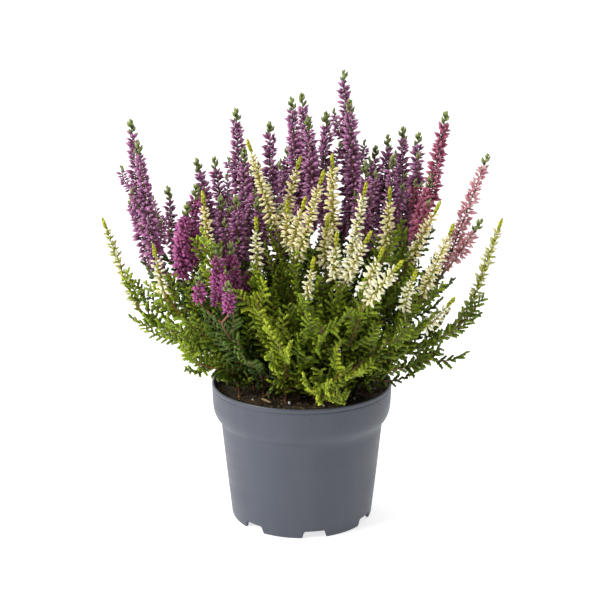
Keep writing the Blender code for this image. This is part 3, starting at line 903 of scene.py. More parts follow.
@dataclass(frozen=True)
class PeatFinish:
    """Damp peat: near-black crumbs among reddish-brown fibres."""

    name: str
    dark: Triple
    brown: Triple
    red: Triple
    rough: float = 0.85
    shine: float = 0.3
    red_from: float = 0.86
    red_share: float = 0.9
    grain: float = 700.0
    relief: float = 1.0
    relief_depth: float = 0.001

    def build(self) -> Material:
        """Makes the material.

        Returns:
            The material.
        """
        coat = Coat(self.name, self.rough, Specular_IOR_Level=self.shine)
        body = coat.tone(self.dark, self.brown, 0.9, 420.0, 0.9)["Colour"]
        reddish = coat.ramp(coat.mark("tone"), self.red_from, 1.0, 0.0, self.red_share)
        mixed = coat.mix(reddish, body, self.red)
        return coat.dress(mixed, coat.grain(self.grain, Coarseness=0.75), self.relief, self.relief_depth)


@dataclass(frozen=True)
class PlasticFinish:
    """Satin moulded plastic with faint scuffs, dust and flow marks."""

    name: str
    colour: Triple
    dusty: Triple
    rough: float = 0.46
    smoother: float = 0.06
    rougher: float = 0.14
    shine: float = 0.5
    dust: float = 0.35
    relief: float = 0.12
    relief_depth: float = 0.0002

    def build(self) -> Material:
        """Makes the material.

        Returns:
            The material.
        """
        coat = Coat(self.name, self.rough, Specular_IOR_Level=self.shine)
        flow = coat.grain(90.0, Stretch=(1.0, 1.0, 0.2), Coarseness=0.5)
        mixed = coat.mix(coat.ramp(flow, 0.42, 0.75, 0.0, self.dust), self.colour, self.dusty)
        scuffs = coat.grain(260.0, "Mask", Stretch=(0.35, 0.35, 3.0), Coarseness=0.8)
        rough = coat.ramp(scuffs, 0.15, 0.5, self.rough - self.smoother, self.rough + self.rougher)
        coat.set(coat.shader.inputs["Roughness"], rough)
        return coat.dress(mixed, coat.grain(2600.0, Coarseness=0.4), self.relief, self.relief_depth)


@dataclass(frozen=True)
class PlainFinish:
    """A matte finish with a little mottle, for straw, mineral specks and the floor."""

    name: str
    colour: Triple
    other: Triple
    scale: float = 300.0
    rough: float = 0.8
    glow: float = 0.0

    def build(self) -> Material:
        """Makes the material.

        Returns:
            The material.
        """
        coat = Coat(self.name, self.rough, Emission_Strength=self.glow, Emission_Color=(1.0, 1.0, 1.0))
        return coat.dress(coat.mix(coat.grain(self.scale), self.colour, self.other))


FINISHES = {
    "purple": PetalFinish("purple_petals", (0.060, 0.040, 0.022), (0.150, 0.024, 0.110),
                          (0.420, 0.112, 0.330), (0.720, 0.390, 0.590)),
    "magenta": PetalFinish("magenta_petals", (0.080, 0.045, 0.025), (0.200, 0.014, 0.120),
                           (0.430, 0.048, 0.270), (0.640, 0.210, 0.460)),
    "rose": PetalFinish("rose_petals", (0.090, 0.035, 0.022), (0.260, 0.024, 0.085), (0.490, 0.082, 0.200),
                        (0.690, 0.270, 0.380)),
    "pink": PetalFinish("pink_petals", (0.200, 0.110, 0.060), (0.580, 0.190, 0.250), (0.820, 0.400, 0.460),
                        (0.900, 0.640, 0.660)),
    "cream": PetalFinish("cream_petals", (0.450, 0.420, 0.040), (0.860, 0.740, 0.300), (0.980, 0.900, 0.560),
                         (0.990, 0.960, 0.760)),
    "white": PetalFinish("white_petals", (0.400, 0.430, 0.080), (0.890, 0.820, 0.460), (0.980, 0.950, 0.730),
                         (0.990, 0.980, 0.880)),
    "faded": PetalFinish("faded_petals", (0.200, 0.270, 0.030), (0.420, 0.470, 0.110), (0.700, 0.710, 0.350),
                         (0.840, 0.820, 0.580)),
    "dark": LeafFinish("dark_leaves", (0.022, 0.048, 0.010), (0.065, 0.125, 0.020), (0.150, 0.240, 0.035)),
    "green": LeafFinish("green_leaves", (0.026, 0.055, 0.004), (0.108, 0.185, 0.007), (0.310, 0.415, 0.016)),
    "lime": LeafFinish("lime_leaves", (0.060, 0.112, 0.007), (0.235, 0.345, 0.014), (0.510, 0.600, 0.036)),
    "mixed": LeafFinish("mixed_leaves", (0.042, 0.085, 0.007), (0.160, 0.270, 0.012), (0.430, 0.560, 0.028)),
    "dark_crown": LeafFinish("dark_crown", (0.095, 0.135, 0.034), (0.220, 0.300, 0.080),
                             (0.370, 0.450, 0.150)),
    "lime_crown": LeafFinish("lime_crown", (0.250, 0.300, 0.012), (0.480, 0.510, 0.020),
                             (0.720, 0.700, 0.060)),
    "red_wood": WoodFinish("red_bark", (0.090, 0.040, 0.022), (0.360, 0.165, 0.085), (0.200, 0.115, 0.060)),
    "orange_wood": WoodFinish("orange_bark", (0.080, 0.036, 0.016), (0.300, 0.140, 0.050),
                              (0.400, 0.260, 0.060)),
    "green_wood": WoodFinish("green_bark", (0.150, 0.140, 0.030), (0.330, 0.300, 0.070),
                             (0.440, 0.440, 0.080)),
    "plastic": PlasticFinish("satin_pot_plastic", (0.066, 0.075, 0.100), (0.092, 0.102, 0.131)),
    "peat": PeatFinish("damp_peat", (0.048, 0.034, 0.020), (0.215, 0.140, 0.070), (0.460, 0.250, 0.110)),
    "straw": PlainFinish("dry_straw", (0.330, 0.200, 0.090), (0.560, 0.380, 0.200), 500.0),
    "mineral": PlainFinish("pale_mineral", (0.55, 0.56, 0.55), (0.80, 0.80, 0.78), 900.0),
    "paper": PlainFinish("studio_paper", (0.70, 0.70, 0.70), (0.72, 0.72, 0.72), 40.0, glow=0.7),
}


# Meshes


def show(obj: bpy.types.Object) -> bpy.types.Object:
    """Puts an object in the scene."""
    bpy.context.scene.collection.objects.link(obj)
    return obj


def mesh_object(name: str, bm: Mesh, smooth: bool = True) -> bpy.types.Object:
    """Writes a mesh to a new object at the origin.

    Args:
        name: The object's name.
        bm: The mesh in metres. It is freed.
        smooth: Whether its faces are shaded smooth.

    Returns:
        The object.
    """
    bmesh.ops.recalc_face_normals(bm, faces=bm.faces)
    for face in bm.faces:
        face.smooth = smooth
    mesh = bpy.data.meshes.new(name)
    bm.to_mesh(mesh)
    bm.free()
    return show(bpy.data.objects.new(name, mesh))


def skin(bm: Mesh, rows: Sequence[Sequence[Vert]]) -> list[bmesh.types.BMFace]:
    """Joins rings of corners, each to the next. A ring of one corner is a point.

    Args:
        bm: The mesh to add to.
        rows: The rings, all of one size apart from points.

    Returns:
        The new faces.
    """
    faces = []
    for low, high in zip(rows, rows[1:]):
        count = max(len(low), len(high))
        for i in range(count):
            n = (i + 1) % count
            corners = (low[i % len(low)], low[n % len(low)], high[n % len(high)], high[i % len(high)])
            faces.append(bm.faces.new(list(dict.fromkeys(corners))))
    return faces


def lathe(profile: Sequence[tuple[float, float]], sides: int) -> Mesh:
    """A closed body turned from an outline that starts on the axis.

    Args:
        profile: Radius and height of each corner, in millimetres.
        sides: The number of sides.

    Returns:
        The mesh in metres.
    """
    bm = bmesh.new()
    rows = []
    for radius, height in profile:
        angles = [math.tau * i / sides for i in range(sides if radius else 1)]
        rows.append([bm.verts.new((radius * math.cos(a) * MM, radius * math.sin(a) * MM, height * MM))
                     for a in angles])
    skin(bm, rows)
    return bm


def tube(bm: Mesh, layer: Layer, points: Sequence[Triple], radii: Sequence[float], sides: int) -> None:
    """Adds a closed pointed tube with its reach, 0 at the foot and 1 at the tip, on every corner.

    Args:
        bm: The mesh to add to.
        layer: Its reach layer.
        points: The axis in millimetres. The last point is the tip.
        radii: A radius for each point but the last, in millimetres.
        sides: The number of sides.
    """
    points = [Vector(point) for point in points]
    last = len(points) - 1
    side = (points[1] - points[0]).orthogonal().normalized()
    rows = []
    for j in range(last):
        along = (points[j + 1] - points[max(j - 1, 0)]).normalized()
        side = (side - along * side.dot(along)).normalized()
        across = along.cross(side)
        angles = [math.tau * i / sides for i in range(sides)]
        row = [bm.verts.new((points[j] + (side * math.cos(a) + across * math.sin(a)) * radii[j]) * MM)
               for a in angles]
        for vert in row:
            vert[layer] = j / last
        rows.append(row)
    tip = bm.verts.new(points[-1] * MM)
    tip[layer] = 1.0
    skin(bm, rows + [[tip]])
    bm.faces.new(list(reversed(rows[0])))


@dataclass(frozen=True)
class Blade:
    """The form of a scale leaf: a ring of corners between its foot and its tip, as shares of its size."""

    ring: tuple[Triple, ...]
    curl: float
    inset: float

    def add(self, bm: Mesh, layer: Layer, length: float, width: float, place: Matrix,
            reach: tuple[float, float]) -> None:
        """Adds one closed leaf.

        Args:
            bm: The mesh to add to.
            layer: Its reach layer.
            length: The leaf's length in millimetres.
            width: Its width in millimetres.
            place: Where it goes, in millimetres.
            reach: The reach at its foot and at its tip.
        """
        corners = [(x * width, y * width + self.inset * (y == 0), z * length) for x, y, z in self.ring]
        low, high = reach
        verts = []
        for x, y, z in [(0, 0, 0), *corners, (0, self.curl * width + 1.5 * self.inset, length)]:
            vert = bm.verts.new((place @ Vector((x, y, z))) * MM)
            vert[layer] = low + (high - low) * z / length
            verts.append(vert)
        foot, *ring, tip = verts
        for first, second in zip(ring, ring[1:] + ring[:1]):
            bm.faces.new((foot, second, first))
            bm.faces.new((first, second, tip))


PLUMP = Blade(((0.5, 0, 0.5), (0, 0.32, 0.42), (-0.5, 0, 0.5), (0, -0.38, 0.5)), 0.12, 0.0)
KEELED = Blade(((0.5, 0, 0.58), (-0.5, 0, 0.58), (0, -0.5, 0.55)), 0.0, 0.1)


@dataclass
class SmallShapes:
    """The buds, leaves, sprigs and crumbs that the trees repeat. They are removed at the end."""

    petals: int = 4
    petal_length: float = 4.0
    petal_width: float = 1.9
    petal_lean: float = 0.62
    knob: float = 0.5
    girth: float = 1.56
    made: dict[str, bpy.types.Object] = field(default_factory=dict)

    def new(self) -> tuple[Mesh, Layer]:
        """A mesh with its reach layer."""
        bm = bmesh.new()
        return bm, bm.verts.layers.float.new("reach")

    def keep(self, name: str, bm: Mesh) -> None:
        """Stores a shape under its name."""
        self.made[name] = mesh_object(name, bm)

    def pod(self, name: str, points: Sequence[Triple], radii: Sequence[float], sides: int = 5) -> None:
        """A pointed tube: a bud or a fibre.

        Args:
            name: The shape's name.
            points: Its axis in millimetres.
            radii: Its radius at each point but the last, in millimetres.
            sides: The number of its sides.
        """
        bm, layer = self.new()
        tube(bm, layer, points, radii, sides)
        self.keep(name, bm)

    def open_flower(self) -> None:
        """An open bell: four pointed petals round a short cup."""
        bm, layer = self.new()
        tube(bm, layer, [(0, 0, 0), (0, 0, 1.0), (0, 0, 3.4)], (0.25, 0.75), self.petals)
        for k in range(self.petals):
            turn = Matrix.Rotation(k * QUARTER + 0.4, 4, "Z")
            lean = Matrix.Rotation(self.petal_lean, 4, "Y")
            PLUMP.add(bm, layer, self.petal_length, self.petal_width,
                      turn @ Matrix.Translation((0.35, 0, 1.1)) @ lean, (0.3, 1.0))
        self.keep("open_flower", bm)

    def leaf(self, name: str, form: Blade, length: float, width: float, reach: tuple[float, float]) -> None:
        """One leaf that leans outwards.

        Args:
            name: The shape's name.
            form: Its form.
            length: Its length in millimetres.
            width: Its width in millimetres.
            reach: The reach at its foot and at its tip.
        """
        bm, layer = self.new()
        form.add(bm, layer, length, width, Matrix.Rotation(QUARTER, 4, "Z"), reach)
        self.keep(name, bm)

    def sprig(self, name: str, length: float, rows: int, bend: float) -> None:
        """A short blunt shoot, knobbed by close pairs of scale leaves that turn a quarter from row to row.

        Args:
            name: The shape's name.
            length: Its length in millimetres.
            rows: The number of rows of leaves.
            bend: How far its tip bends aside, in millimetres.
        """
        bm, layer = self.new()
        rings = []
        for k in range(rows + 1):
            t = k / (rows + 0.45)
            girth = 0.6 if k == 0 else self.girth - 0.35 * t
            ring = []
            for i in range(4):
                knob = (i + k) % 2 == 0
                out = girth * (1.0 if knob or k == 0 else 0.6)
                angle = i * math.pi / 2
                height = length * t + (self.knob if knob and k else 0.0)
                vert = bm.verts.new(Vector((bend * t * t + out * math.cos(angle), out * math.sin(angle),
                                            height)) * MM)
                # Knob corners get more reach than the corners between them, so the hollows between leaf pairs
                # take a darker colour: painted shade.
                vert[layer] = min(1.0, 0.15 + 0.5 * t + (0.35 if knob else 0.0))
                ring.append(vert)
            rings.append(ring)
        tip = bm.verts.new(Vector((bend, 0, length)) * MM)
        tip[layer] = 1.0
        skin(bm, rings + [[tip]])
        bm.faces.new(list(reversed(rings[0])))
        self.keep(name, bm)

    def crumb(self) -> None:
        """A lump of peat of twenty faces."""
        bm, _ = self.new()
        bmesh.ops.create_icosphere(bm, subdivisions=1, radius=1.0)
        for vert in bm.verts:
            lump = 1.0 + 0.5 * noise.noise(vert.co * 1.7)
            vert.co = Vector((vert.co.x * lump, vert.co.y * lump * 0.8, vert.co.z * lump * 0.6)) * 1.25 * MM
        self.keep("crumb", bm)

    def build(self) -> None:
        """Makes every shape."""
        self.pod("bud", [(0, 0, 0), (0, 0, 1.3), (0.05, 0, 2.5), (0.12, 0, 3.9), (0.28, 0, 5.8)],
                 (0.2, 0.55, 1.02, 0.84))
        self.pod("drop", [(0, 0, 0), (0, 0, 1.4), (0.05, 0, 2.6), (0.1, 0, 4.3), (0.2, 0, 5.4)],
                 (0.2, 0.46, 0.82, 0.7))
        self.open_flower()
        self.leaf("bract", PLUMP, 2.6, 0.95, (0.0, 1.0))
        self.leaf("crown_leaf", PLUMP, 3.5, 2.1, (0.0, 1.0))
        self.leaf("scale_leaf", KEELED, 2.2, 1.7, (0.2, 0.9))
        self.sprig("sprig", 7.4, 6, 1.2)
        self.sprig("short_sprig", 5.8, 5, 0.8)
        self.crumb()
        self.pod("fibre", [(-4.5, 0.6, 0.2), (-2.0, -0.6, 0.9), (0.6, 0.4, 1.1), (2.8, -0.3, 0.6),
                           (5.0, 0.5, 1.4)], (0.16, 0.2, 0.2, 0.16), 3)

    def clear(self) -> None:
        """Removes the shapes once all pieces are plain meshes."""
        for obj in self.made.values():
            bpy.data.meshes.remove(obj.data)


def grow(obj: bpy.types.Object, tree: Tree, values: dict[str, object]) -> None:
    """Runs a tree on an object and keeps the result as its plain mesh.

    Args:
        obj: The object that carries the skeleton or the bed.
        tree: The Geometry Nodes tree.
        values: The tree's inputs by name. They are set through their identifiers.
    """
    modifier = obj.modifiers.new("grow", "NODES")
    modifier.node_group = tree
    for item in tree.interface.items_tree:
        if item.in_out == "INPUT" and item.name in values:
            modifier[item.identifier] = values[item.name]
    obj.update_tag()
    take_result(obj)


def take_result(obj: bpy.types.Object) -> None:
    """Makes what an object's modifiers give its plain mesh, and removes them.

    Args:
        obj: The object.
    """
    depsgraph = bpy.context.evaluated_depsgraph_get()
    result = bpy.data.meshes.new_from_object(obj.evaluated_get(depsgraph), depsgraph=depsgraph)
    old = obj.data
    obj.modifiers.clear()
    obj.data = result
    bpy.data.meshes.remove(old)


def hand_over(obj: bpy.types.Object, node: str | None) -> None:
    """Gives a finished piece its body, hides the CAD node that it takes the place of if it has one, and logs
    its faces and triangles.

    Args:
        obj: The piece.
        node: The CAD node that it replaces, or None for an added piece.
    """
    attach(obj, "root")
    if node:
        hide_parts(node)
    obj.data.calc_loop_triangles()
    log.info("%s: %d faces, %d triangles", obj.name, len(obj.data.polygons), len(obj.data.loop_triangles))


# Plants


@dataclass
class Skeleton:
    """Chains of points that a tree grows a plant on."""

    points: list[Vector] = field(default_factory=list)
    edges: list[tuple[int, int]] = field(default_factory=list)
    zones: list[int] = field(default_factory=list)
    climbs: list[float] = field(default_factory=list)
    fulls: list[float] = field(default_factory=list)
    girths: list[float] = field(default_factory=list)

    def chain(self, zone: Zone, points: Sequence[Vector], climbs: Sequence[float],
              fulls: Sequence[float] | float = 1.0, girths: Sequence[float] | None = None) -> None:
        """Adds one chain.

        Args:
            zone: What the chain carries.
            points: Its points in millimetres.
            climbs: How far up the plant each point is, 0 to 1.
            fulls: The size of what grows at each point, or at all of them.
            girths: The wood's radius at each point, in millimetres.
        """
        first = len(self.points)
        count = len(points)
        self.points += points
        self.edges += [(first + i, first + i + 1) for i in range(count - 1)]
        self.zones += [zone.value] * count
        self.climbs += climbs
        self.fulls += [fulls] * count if isinstance(fulls, float) else fulls
        self.girths += [g * MM for g in girths] if girths else [0.0] * count

    def to_object(self, name: str) -> bpy.types.Object:
        """Writes the chains to an object of loose edges.

        Args:
            name: The object's name.

        Returns:
            The object.
        """
        mesh = bpy.data.meshes.new(name)
        mesh.from_pydata([point * MM for point in self.points], self.edges, [])
        for label, kind, values in (("zone", "INT", self.zones), ("climb", "FLOAT", self.climbs),
                                    ("full", "FLOAT", self.fulls), ("girth", "FLOAT", self.girths)):
            mesh.attributes.new(label, kind, "POINT").data.foreach_set("value", values)
        return show(bpy.data.objects.new(name, mesh))


@dataclass(frozen=True)
class Habit:
    """How a kind of spray flowers. Gaps are in millimetres, leans in radians."""

    openness: float
    side_spikes: int = 0
    bud: str = "bud"
    slimness: float = 4.75
    bud_gap: float = 0.6
    lean: float = 1.75
    tip_lean: float = 0.95
    bract: float = 1.0
    bract_gap: float = 1.0
    crown: float = 1.65
    crown_gap: float = 1.0
    crown_lean: float = 0.85
    leaves: str = "dark_crown"
    wood: str = "red_wood"


PALE = Habit(0.03, bud="drop", slimness=5.6, bud_gap=0.56, lean=1.9, bract_gap=0.8, crown=1.15, crown_gap=0.6,
             crown_lean=0.42, leaves="lime_crown", wood="green_wood")
THIN = replace(PALE, bud="bud", slimness=3.4, bud_gap=0.95, lean=1.35, tip_lean=0.9, bract=1.7)
HABITS = {
    Bloom.PURPLE: Habit(0.12, side_spikes=3),
    Bloom.MAGENTA: Habit(0.65, side_spikes=2),
    Bloom.ROSE: Habit(0.2, side_spikes=1),
    Bloom.PINK: Habit(0.6, bud_gap=0.95),
    Bloom.CREAM: PALE,
    Bloom.WHITE: PALE,
}


@dataclass
class FlowerSpray:
    """One spray of spikes, with its buds, bracts and leafy crowns."""

    spray: Spray
    root: Vector
    seed: int
    trees: GrowthTrees
    shapes: SmallShapes
    materials: dict[str, Material]
    steps: int = 26
    side_steps: int = 8
    crown_steps: int = 10
    stalk: float = 0.62
    side_wood: float = 0.45
    side_length: tuple[float, float] = (16.0, 29.0)
    side_rise: float = 0.86
    side_spread: float = 0.5
    side_first: float = 0.03
    side_gap: float = 0.2
    side_wander: float = 0.08
    late_start: float = 0.18
    crown_end: float = 0.975

    @property
    def short(self) -> bool:
        """Whether this is the low magenta spray, which has no side shoots and flowers late."""
        return self.spray.name == "magenta_spray_front_low"

    @property
    def thin(self) -> bool:
        """Whether the spray is one of the two that have nearly finished flowering."""
        return self.spray.name.startswith("thin")

    def side_spike(self, bones: Skeleton, axis: Curve, t: float, rng: random.Random) -> None:
        """Adds a short flowering side shoot to a spike.

        Args:
            bones: The spray's chains.
            axis: The spike's curve.
            t: Where on it the shoot leaves, 0 to 1.
            rng: The spray's own chance.
        """
        start = bezier(axis, t)
        along = (bezier(axis, t + 0.05) - start).normalized()
        out = aside(along, rng.uniform(0.0, math.tau))
        length = rng.uniform(*self.side_length) * (1.0 - 0.4 * t)
        end = start + (along * self.side_rise + out * self.side_spread) * length
        count = self.side_steps
        points = curve_points((start, start + out * length * 0.3, end - along * length * 0.4, end), count)
        climbs = [0.2 + 0.6 * i / count for i in range(count + 1)]
        bones.chain(Zone.WOOD, points, climbs, girths=[self.side_wood - 0.03 * i for i in range(count + 1)])
        fulls = [0.8 - 0.03 * i for i in range(count - 1)]
        bones.chain(Zone.FLOWERS, points[1:count], climbs[1:count], fulls)
        bones.chain(Zone.CROWN, points[count - 1:], [0.5, 1.0], [0.7, 0.6])

    def spike(self, bones: Skeleton, spike: Spike, foot: Vector, along: Vector, rng: random.Random) -> None:
        """Adds a spike: its stalk, its bloom, its side shoots and its crown.

        Args:
            bones: The spray's chains.
            spike: The spike.
            foot: The spray's foot.
            along: The stem's direction there.
            rng: The spray's own chance.
        """
        axis = GROWTH.spike(spike, foot, along)
        span = (axis[3] - axis[0]).length
        points = curve_points(axis, self.steps)
        climbs = steps(self.steps)
        stalk = [foot + (points[0] - foot) * t for t in (0.0, 0.5)] if GROWTH.forked(spike, foot) else []
        girths = [self.stalk * 1.15] * len(stalk) + [self.stalk * (1.0 - 0.55 * t) for t in climbs]
        bones.chain(Zone.WOOD, stalk + points, [0.0] * len(stalk) + climbs, girths=girths)
        top = (span - 0.3 * GROWTH.neck - GROWTH.tuft) / span
        if stalk and self.spray.bloom is Bloom.PURPLE:
            bones.chain(Zone.FLOWERS, stalk + points[:1], [0.0, 0.0, 0.0], [0.8, 0.85, 0.9])
        bloom = curve_points(axis, self.steps, self.late_start if self.short else 0.0, top)
        bones.chain(Zone.FLOWERS, bloom, climbs, [
            (0.86 + 0.14 * math.sin(math.pi * min(1.0, 0.25 + t * 0.75))) * (1.0 - 0.1 * t) for t in climbs])
        for k in range(0 if self.short else HABITS[self.spray.bloom].side_spikes):
            place = self.side_first + self.side_gap * k + self.side_wander * rng.random()
            self.side_spike(bones, axis, place, rng)
        crown = curve_points(axis, self.crown_steps, top + 0.12 * (1.0 - top), self.crown_end)
        climb = steps(self.crown_steps)
        bones.chain(Zone.CROWN, crown, climb, [0.85 + 0.25 * math.sin(math.pi * t) - 0.25 * t for t in climb])

    def skeleton(self) -> Skeleton:
        """The spray's chains.

        Returns:
            Its stalks, its blooms and its crowns.
        """
        bones = Skeleton()
        foot, along = GROWTH.foot(self.spray, self.root)
        rng = random.Random(self.seed)
        for spike in self.spray.spikes:
            self.spike(bones, spike, foot, along, rng)
        return bones

    def build(self) -> None:
        """Grows the spray and hands it over."""
        spray = self.spray
        habit = THIN if self.thin else HABITS[spray.bloom]
        shapes = self.shapes.made
        obj = self.skeleton().to_object(spray.name + "_spikes")
        grow(obj, self.trees.spray, {
            "Bud": shapes[habit.bud], "Second bud": shapes["open_flower"], "Bract": shapes["bract"],
            "Crown leaf": shapes["crown_leaf"],
            "Bud finish": self.materials["faded" if self.thin else spray.bloom.value],
            "Leaf finish": self.materials[habit.leaves], "Wood finish": self.materials[habit.wood],
            "Seed": self.seed, "Bud spacing": habit.bud_gap * MM, "Bud size": spray.radius / habit.slimness,
            "Second share": habit.openness, "Lean at foot": habit.lean, "Lean at tip": habit.tip_lean,
            "Bract spacing": habit.bract_gap * MM, "Bract size": habit.bract,
            "Crown spacing": habit.crown_gap * MM, "Crown size": habit.crown, "Crown lean": habit.crown_lean})
        hand_over(obj, spray.name)


@dataclass
class LeafyStem:
    """One woody stem with its branches, laterals, sprigs and scale leaves."""

    stem: Stem
    seed: int
    trees: GrowthTrees
    shapes: SmallShapes
    materials: dict[str, Material]
    steps: int = 20
    leafy_steps: int = 14
    side_steps: int = 6
    low_steps: int = 5
    trunk: float = 0.95
    twig: float = 0.85
    lateral: float = 0.5
    low_wood: float = 0.45
    leafy_from: float = 0.06
    lateral_gap: float = 7.6
    back_gap: float = 1.25
    lateral_reach: tuple[float, float] = (26.0, 48.0)
    low_reach: tuple[float, float] = (11.0, 19.0)
    low_count: int = 7
    low_first: float = 2.0
    low_gap: float = 1.7
    low_out: float = 0.75
    low_up: float = 0.66
    spread_range: tuple[float, float] = (28.0, 46.0)
    low_spread: float = 24.0
    crook: float = 2.2
    crook_pace: float = 5.0
    tries: int = 5
    sprig_gap: float = 2.1
    scale_gap: float = 2.3
    clear_of_peat: float = 4.0
    rim_reach: float = 54.0
    rim_height: float = 96.0
    widest: float = 122.0
    deepest: float = 84.0

    def ends(self, root: Vector) -> list[tuple[Vector, Vector, bool]]:
        """Where the branches end.

        Args:
            root: The stem's root.

        Returns:
            For each branch its end, its direction there, and whether it is leafy to the tip.
        """
        found = [(*GROWTH.foot(spray, root), False) for spray in self.stem.sprays]
        for tip in self.stem.tips:
            end = Vector(tip)
            found.append((end, ((end - root).normalized() + UP * 0.6).normalized(), True))
        return found

    def side_shoot(self, start: Vector, along: Vector, turn: float, length: float,
                   rng: random.Random) -> list[Vector]:
        """A lateral that leaves at an angle and bends up to the light, flatter near the peat.

        Args:
            start: Its place on the branch.
            along: The branch's direction there.
            turn: The side that it leaves on.
            length: Its length in millimetres.
            rng: The stem's own chance.

        Returns:
            Points along it.
        """
        out = aside(along, turn)
        near_peat = max(0.0, 1.0 - (start.z - 88.0) / 30.0)
        spread = math.radians(rng.uniform(*self.spread_range) + self.low_spread * near_peat)
        first = along * math.cos(spread) + out * math.sin(spread)
        last = (first * 0.4 + along * 0.45 + UP * 0.4).normalized()
        end = start + first * length * 0.5 + last * length * 0.5
        axis = (start, start + first * length * 0.4, end - last * length * 0.35, end)
        return curve_points(axis, self.side_steps)

    def allowed(self, points: Sequence[Vector]) -> bool:
        """Whether a lateral keeps clear of the peat, of the rim and of two open places at the front.

        Args:
            points: The lateral's points.

        Returns:
            True if all of it may stay.
        """
        for point in points[1:]:
            over_rim = math.hypot(point.x, point.y) > self.rim_reach and point.z < self.rim_height
            before_peat = point.z < 101.0 and point.y < -37.0 and -48.0 < point.x < 4.0
            before_trunk = (90.0 < point.z < 138.0 and -60.0 < point.x < -24.0
                            and point.y < -20.0 - 0.5 * (point.z - 95.0))
            low = point.z < GROWTH.soil_top + self.clear_of_peat
            if low or over_rim or before_peat or before_trunk:
                return False
        return abs(points[-1].y) < self.deepest and abs(points[-1].x) < self.widest

    def low_shoots(self, bones: Skeleton, root: Vector, rng: random.Random) -> None:
        """Adds short shoots round the foot of the trunk.

        Args:
            bones: The stem's chains.
            root: The stem's root.
            rng: The stem's own chance.
        """
        turn = rng.uniform(0.0, math.tau)
        count = self.low_steps + 1
        for k in range(self.low_count):
            start = root + UP * (self.low_first + self.low_gap * k)
            turn += GOLDEN
            way = Vector((math.cos(turn) * self.low_out, math.sin(turn) * self.low_out, self.low_up))
            reach = rng.uniform(*self.low_reach)
            end = start + way * reach
            axis = (start, start + way * reach * 0.4, end - UP * (reach * 0.3), end)
            points = curve_points(axis, self.low_steps)
            if self.allowed(points[2:]):
                own = [0.1 + 0.12 * i for i in range(count)]
                bones.chain(Zone.WOOD, points, own, girths=[self.low_wood - 0.04 * i for i in range(count)])
                bones.chain(Zone.SPRIGS, points[1:], own[1:], 0.75)

    def laterals(self, bones: Skeleton, axis: Curve, first: float, count: int, rng: random.Random) -> None:
        """Adds the laterals of one branch, each on the first side that is clear.

        Args:
            bones: The stem's chains.
            axis: The branch's curve.
            first: Where its leaves begin, 0 to 1.
            count: The number of laterals.
            rng: The stem's own chance.
        """
        turn = rng.uniform(0.0, math.tau)
        last = self.side_steps
        for k in range(count):
            t = first * 0.8 + (0.97 - first * 0.8) * (k + rng.uniform(0.1, 0.9)) / count
            here = bezier(axis, t)
            heading = (bezier(axis, min(1.0, t + 0.02)) - bezier(axis, t - 0.02)).normalized()
            reach = rng.uniform(*self.lateral_reach) * (1.1 - 0.5 * t)
            for _ in range(self.tries):
                turn += GOLDEN + rng.uniform(-0.4, 0.4)
                shoot = self.side_shoot(here, heading, turn, reach, rng)
                if self.allowed(shoot):
                    own = [0.6 * t + 0.4 * i / last for i in range(last + 1)]
                    girths = [self.lateral * (1.0 - 0.08 * i) for i in range(last + 1)]
                    bones.chain(Zone.WOOD, shoot, own, girths=girths)
                    bones.chain(Zone.SPRIGS, shoot[1:], own[1:], [1.05 - 0.07 * i for i in range(last)])
                    bones.chain(Zone.SCALES, shoot, own, 0.9)
                    break

    def skeleton(self) -> Skeleton:
        """The stem's chains.

        Returns:
            Its wood, sprigs and scale leaves.
        """
        rng = random.Random(self.seed)
        bones = Skeleton()
        root = GROWTH.root(self.stem)
        first = self.leafy_from * (0.5 if self.stem.name in ("front_lime", "rim_lime") else 1.0)
        gap = self.lateral_gap * (self.back_gap if root.y > 12.0 else 1.0)
        for number, (end, along, leafy) in enumerate(self.ends(root)):
            axis = GROWTH.branch(root, end, along)
            points = curve_points(axis, self.steps)
            climbs = steps(self.steps)
            for t, point in zip(climbs, points):
                bend = noise.noise_vector(Vector((self.seed + number * 3.1, t * self.crook_pace, 0.5)))
                bend = bend * self.crook * math.sin(math.pi * t)
                point += Vector((bend.x, bend.y, 0.0))
            girths = [self.twig + (self.trunk * 0.8 - self.twig) * (1.0 - t) ** 2 for t in climbs]
            wood = [] if number else [root - UP * 12.0, root]
            tones = [0.0] * len(wood)
            girths = [self.trunk] * len(wood) + girths
            bones.chain(Zone.WOOD, wood + points, tones + climbs, girths=girths)
            length = sum((b - a).length for a, b in zip(points, points[1:]))
            upper = curve_points(axis, self.leafy_steps, first, 1.0 if leafy else 0.97)
            rise = [first + (1.0 - first) * i / self.leafy_steps for i in range(self.leafy_steps + 1)]
            bones.chain(Zone.SCALES, upper, rise)
            bones.chain(Zone.SPRIGS, upper, rise, [0.75 + 0.45 * math.sin(math.pi * t) for t in rise])
            self.laterals(bones, axis, first, max(3, round(length * (1.0 - first * 0.8) / gap)), rng)
        self.low_shoots(bones, root, rng)
        return bones

    def build(self) -> None:
        """Grows the stem and hands it over."""
        name = f"stem_{self.stem.name}"
        leaf = self.stem.leaf
        shapes = self.shapes.made
        obj = self.skeleton().to_object(name + "_leaves")
        grow(obj, self.trees.stem, {
            "Sprig": shapes["sprig"], "Second sprig": shapes["short_sprig"],
            "Scale leaf": shapes["scale_leaf"],
            "Leaf finish": self.materials["mixed" if self.stem.name == "left_white" else leaf.value],
            "Wood finish": self.materials["orange_wood" if leaf is Leaf.LIME else "red_wood"],
            "Seed": self.seed, "Sprig spacing": self.sprig_gap * MM, "Scale spacing": self.scale_gap * MM})
        hand_over(obj, name)


# Pot and peat


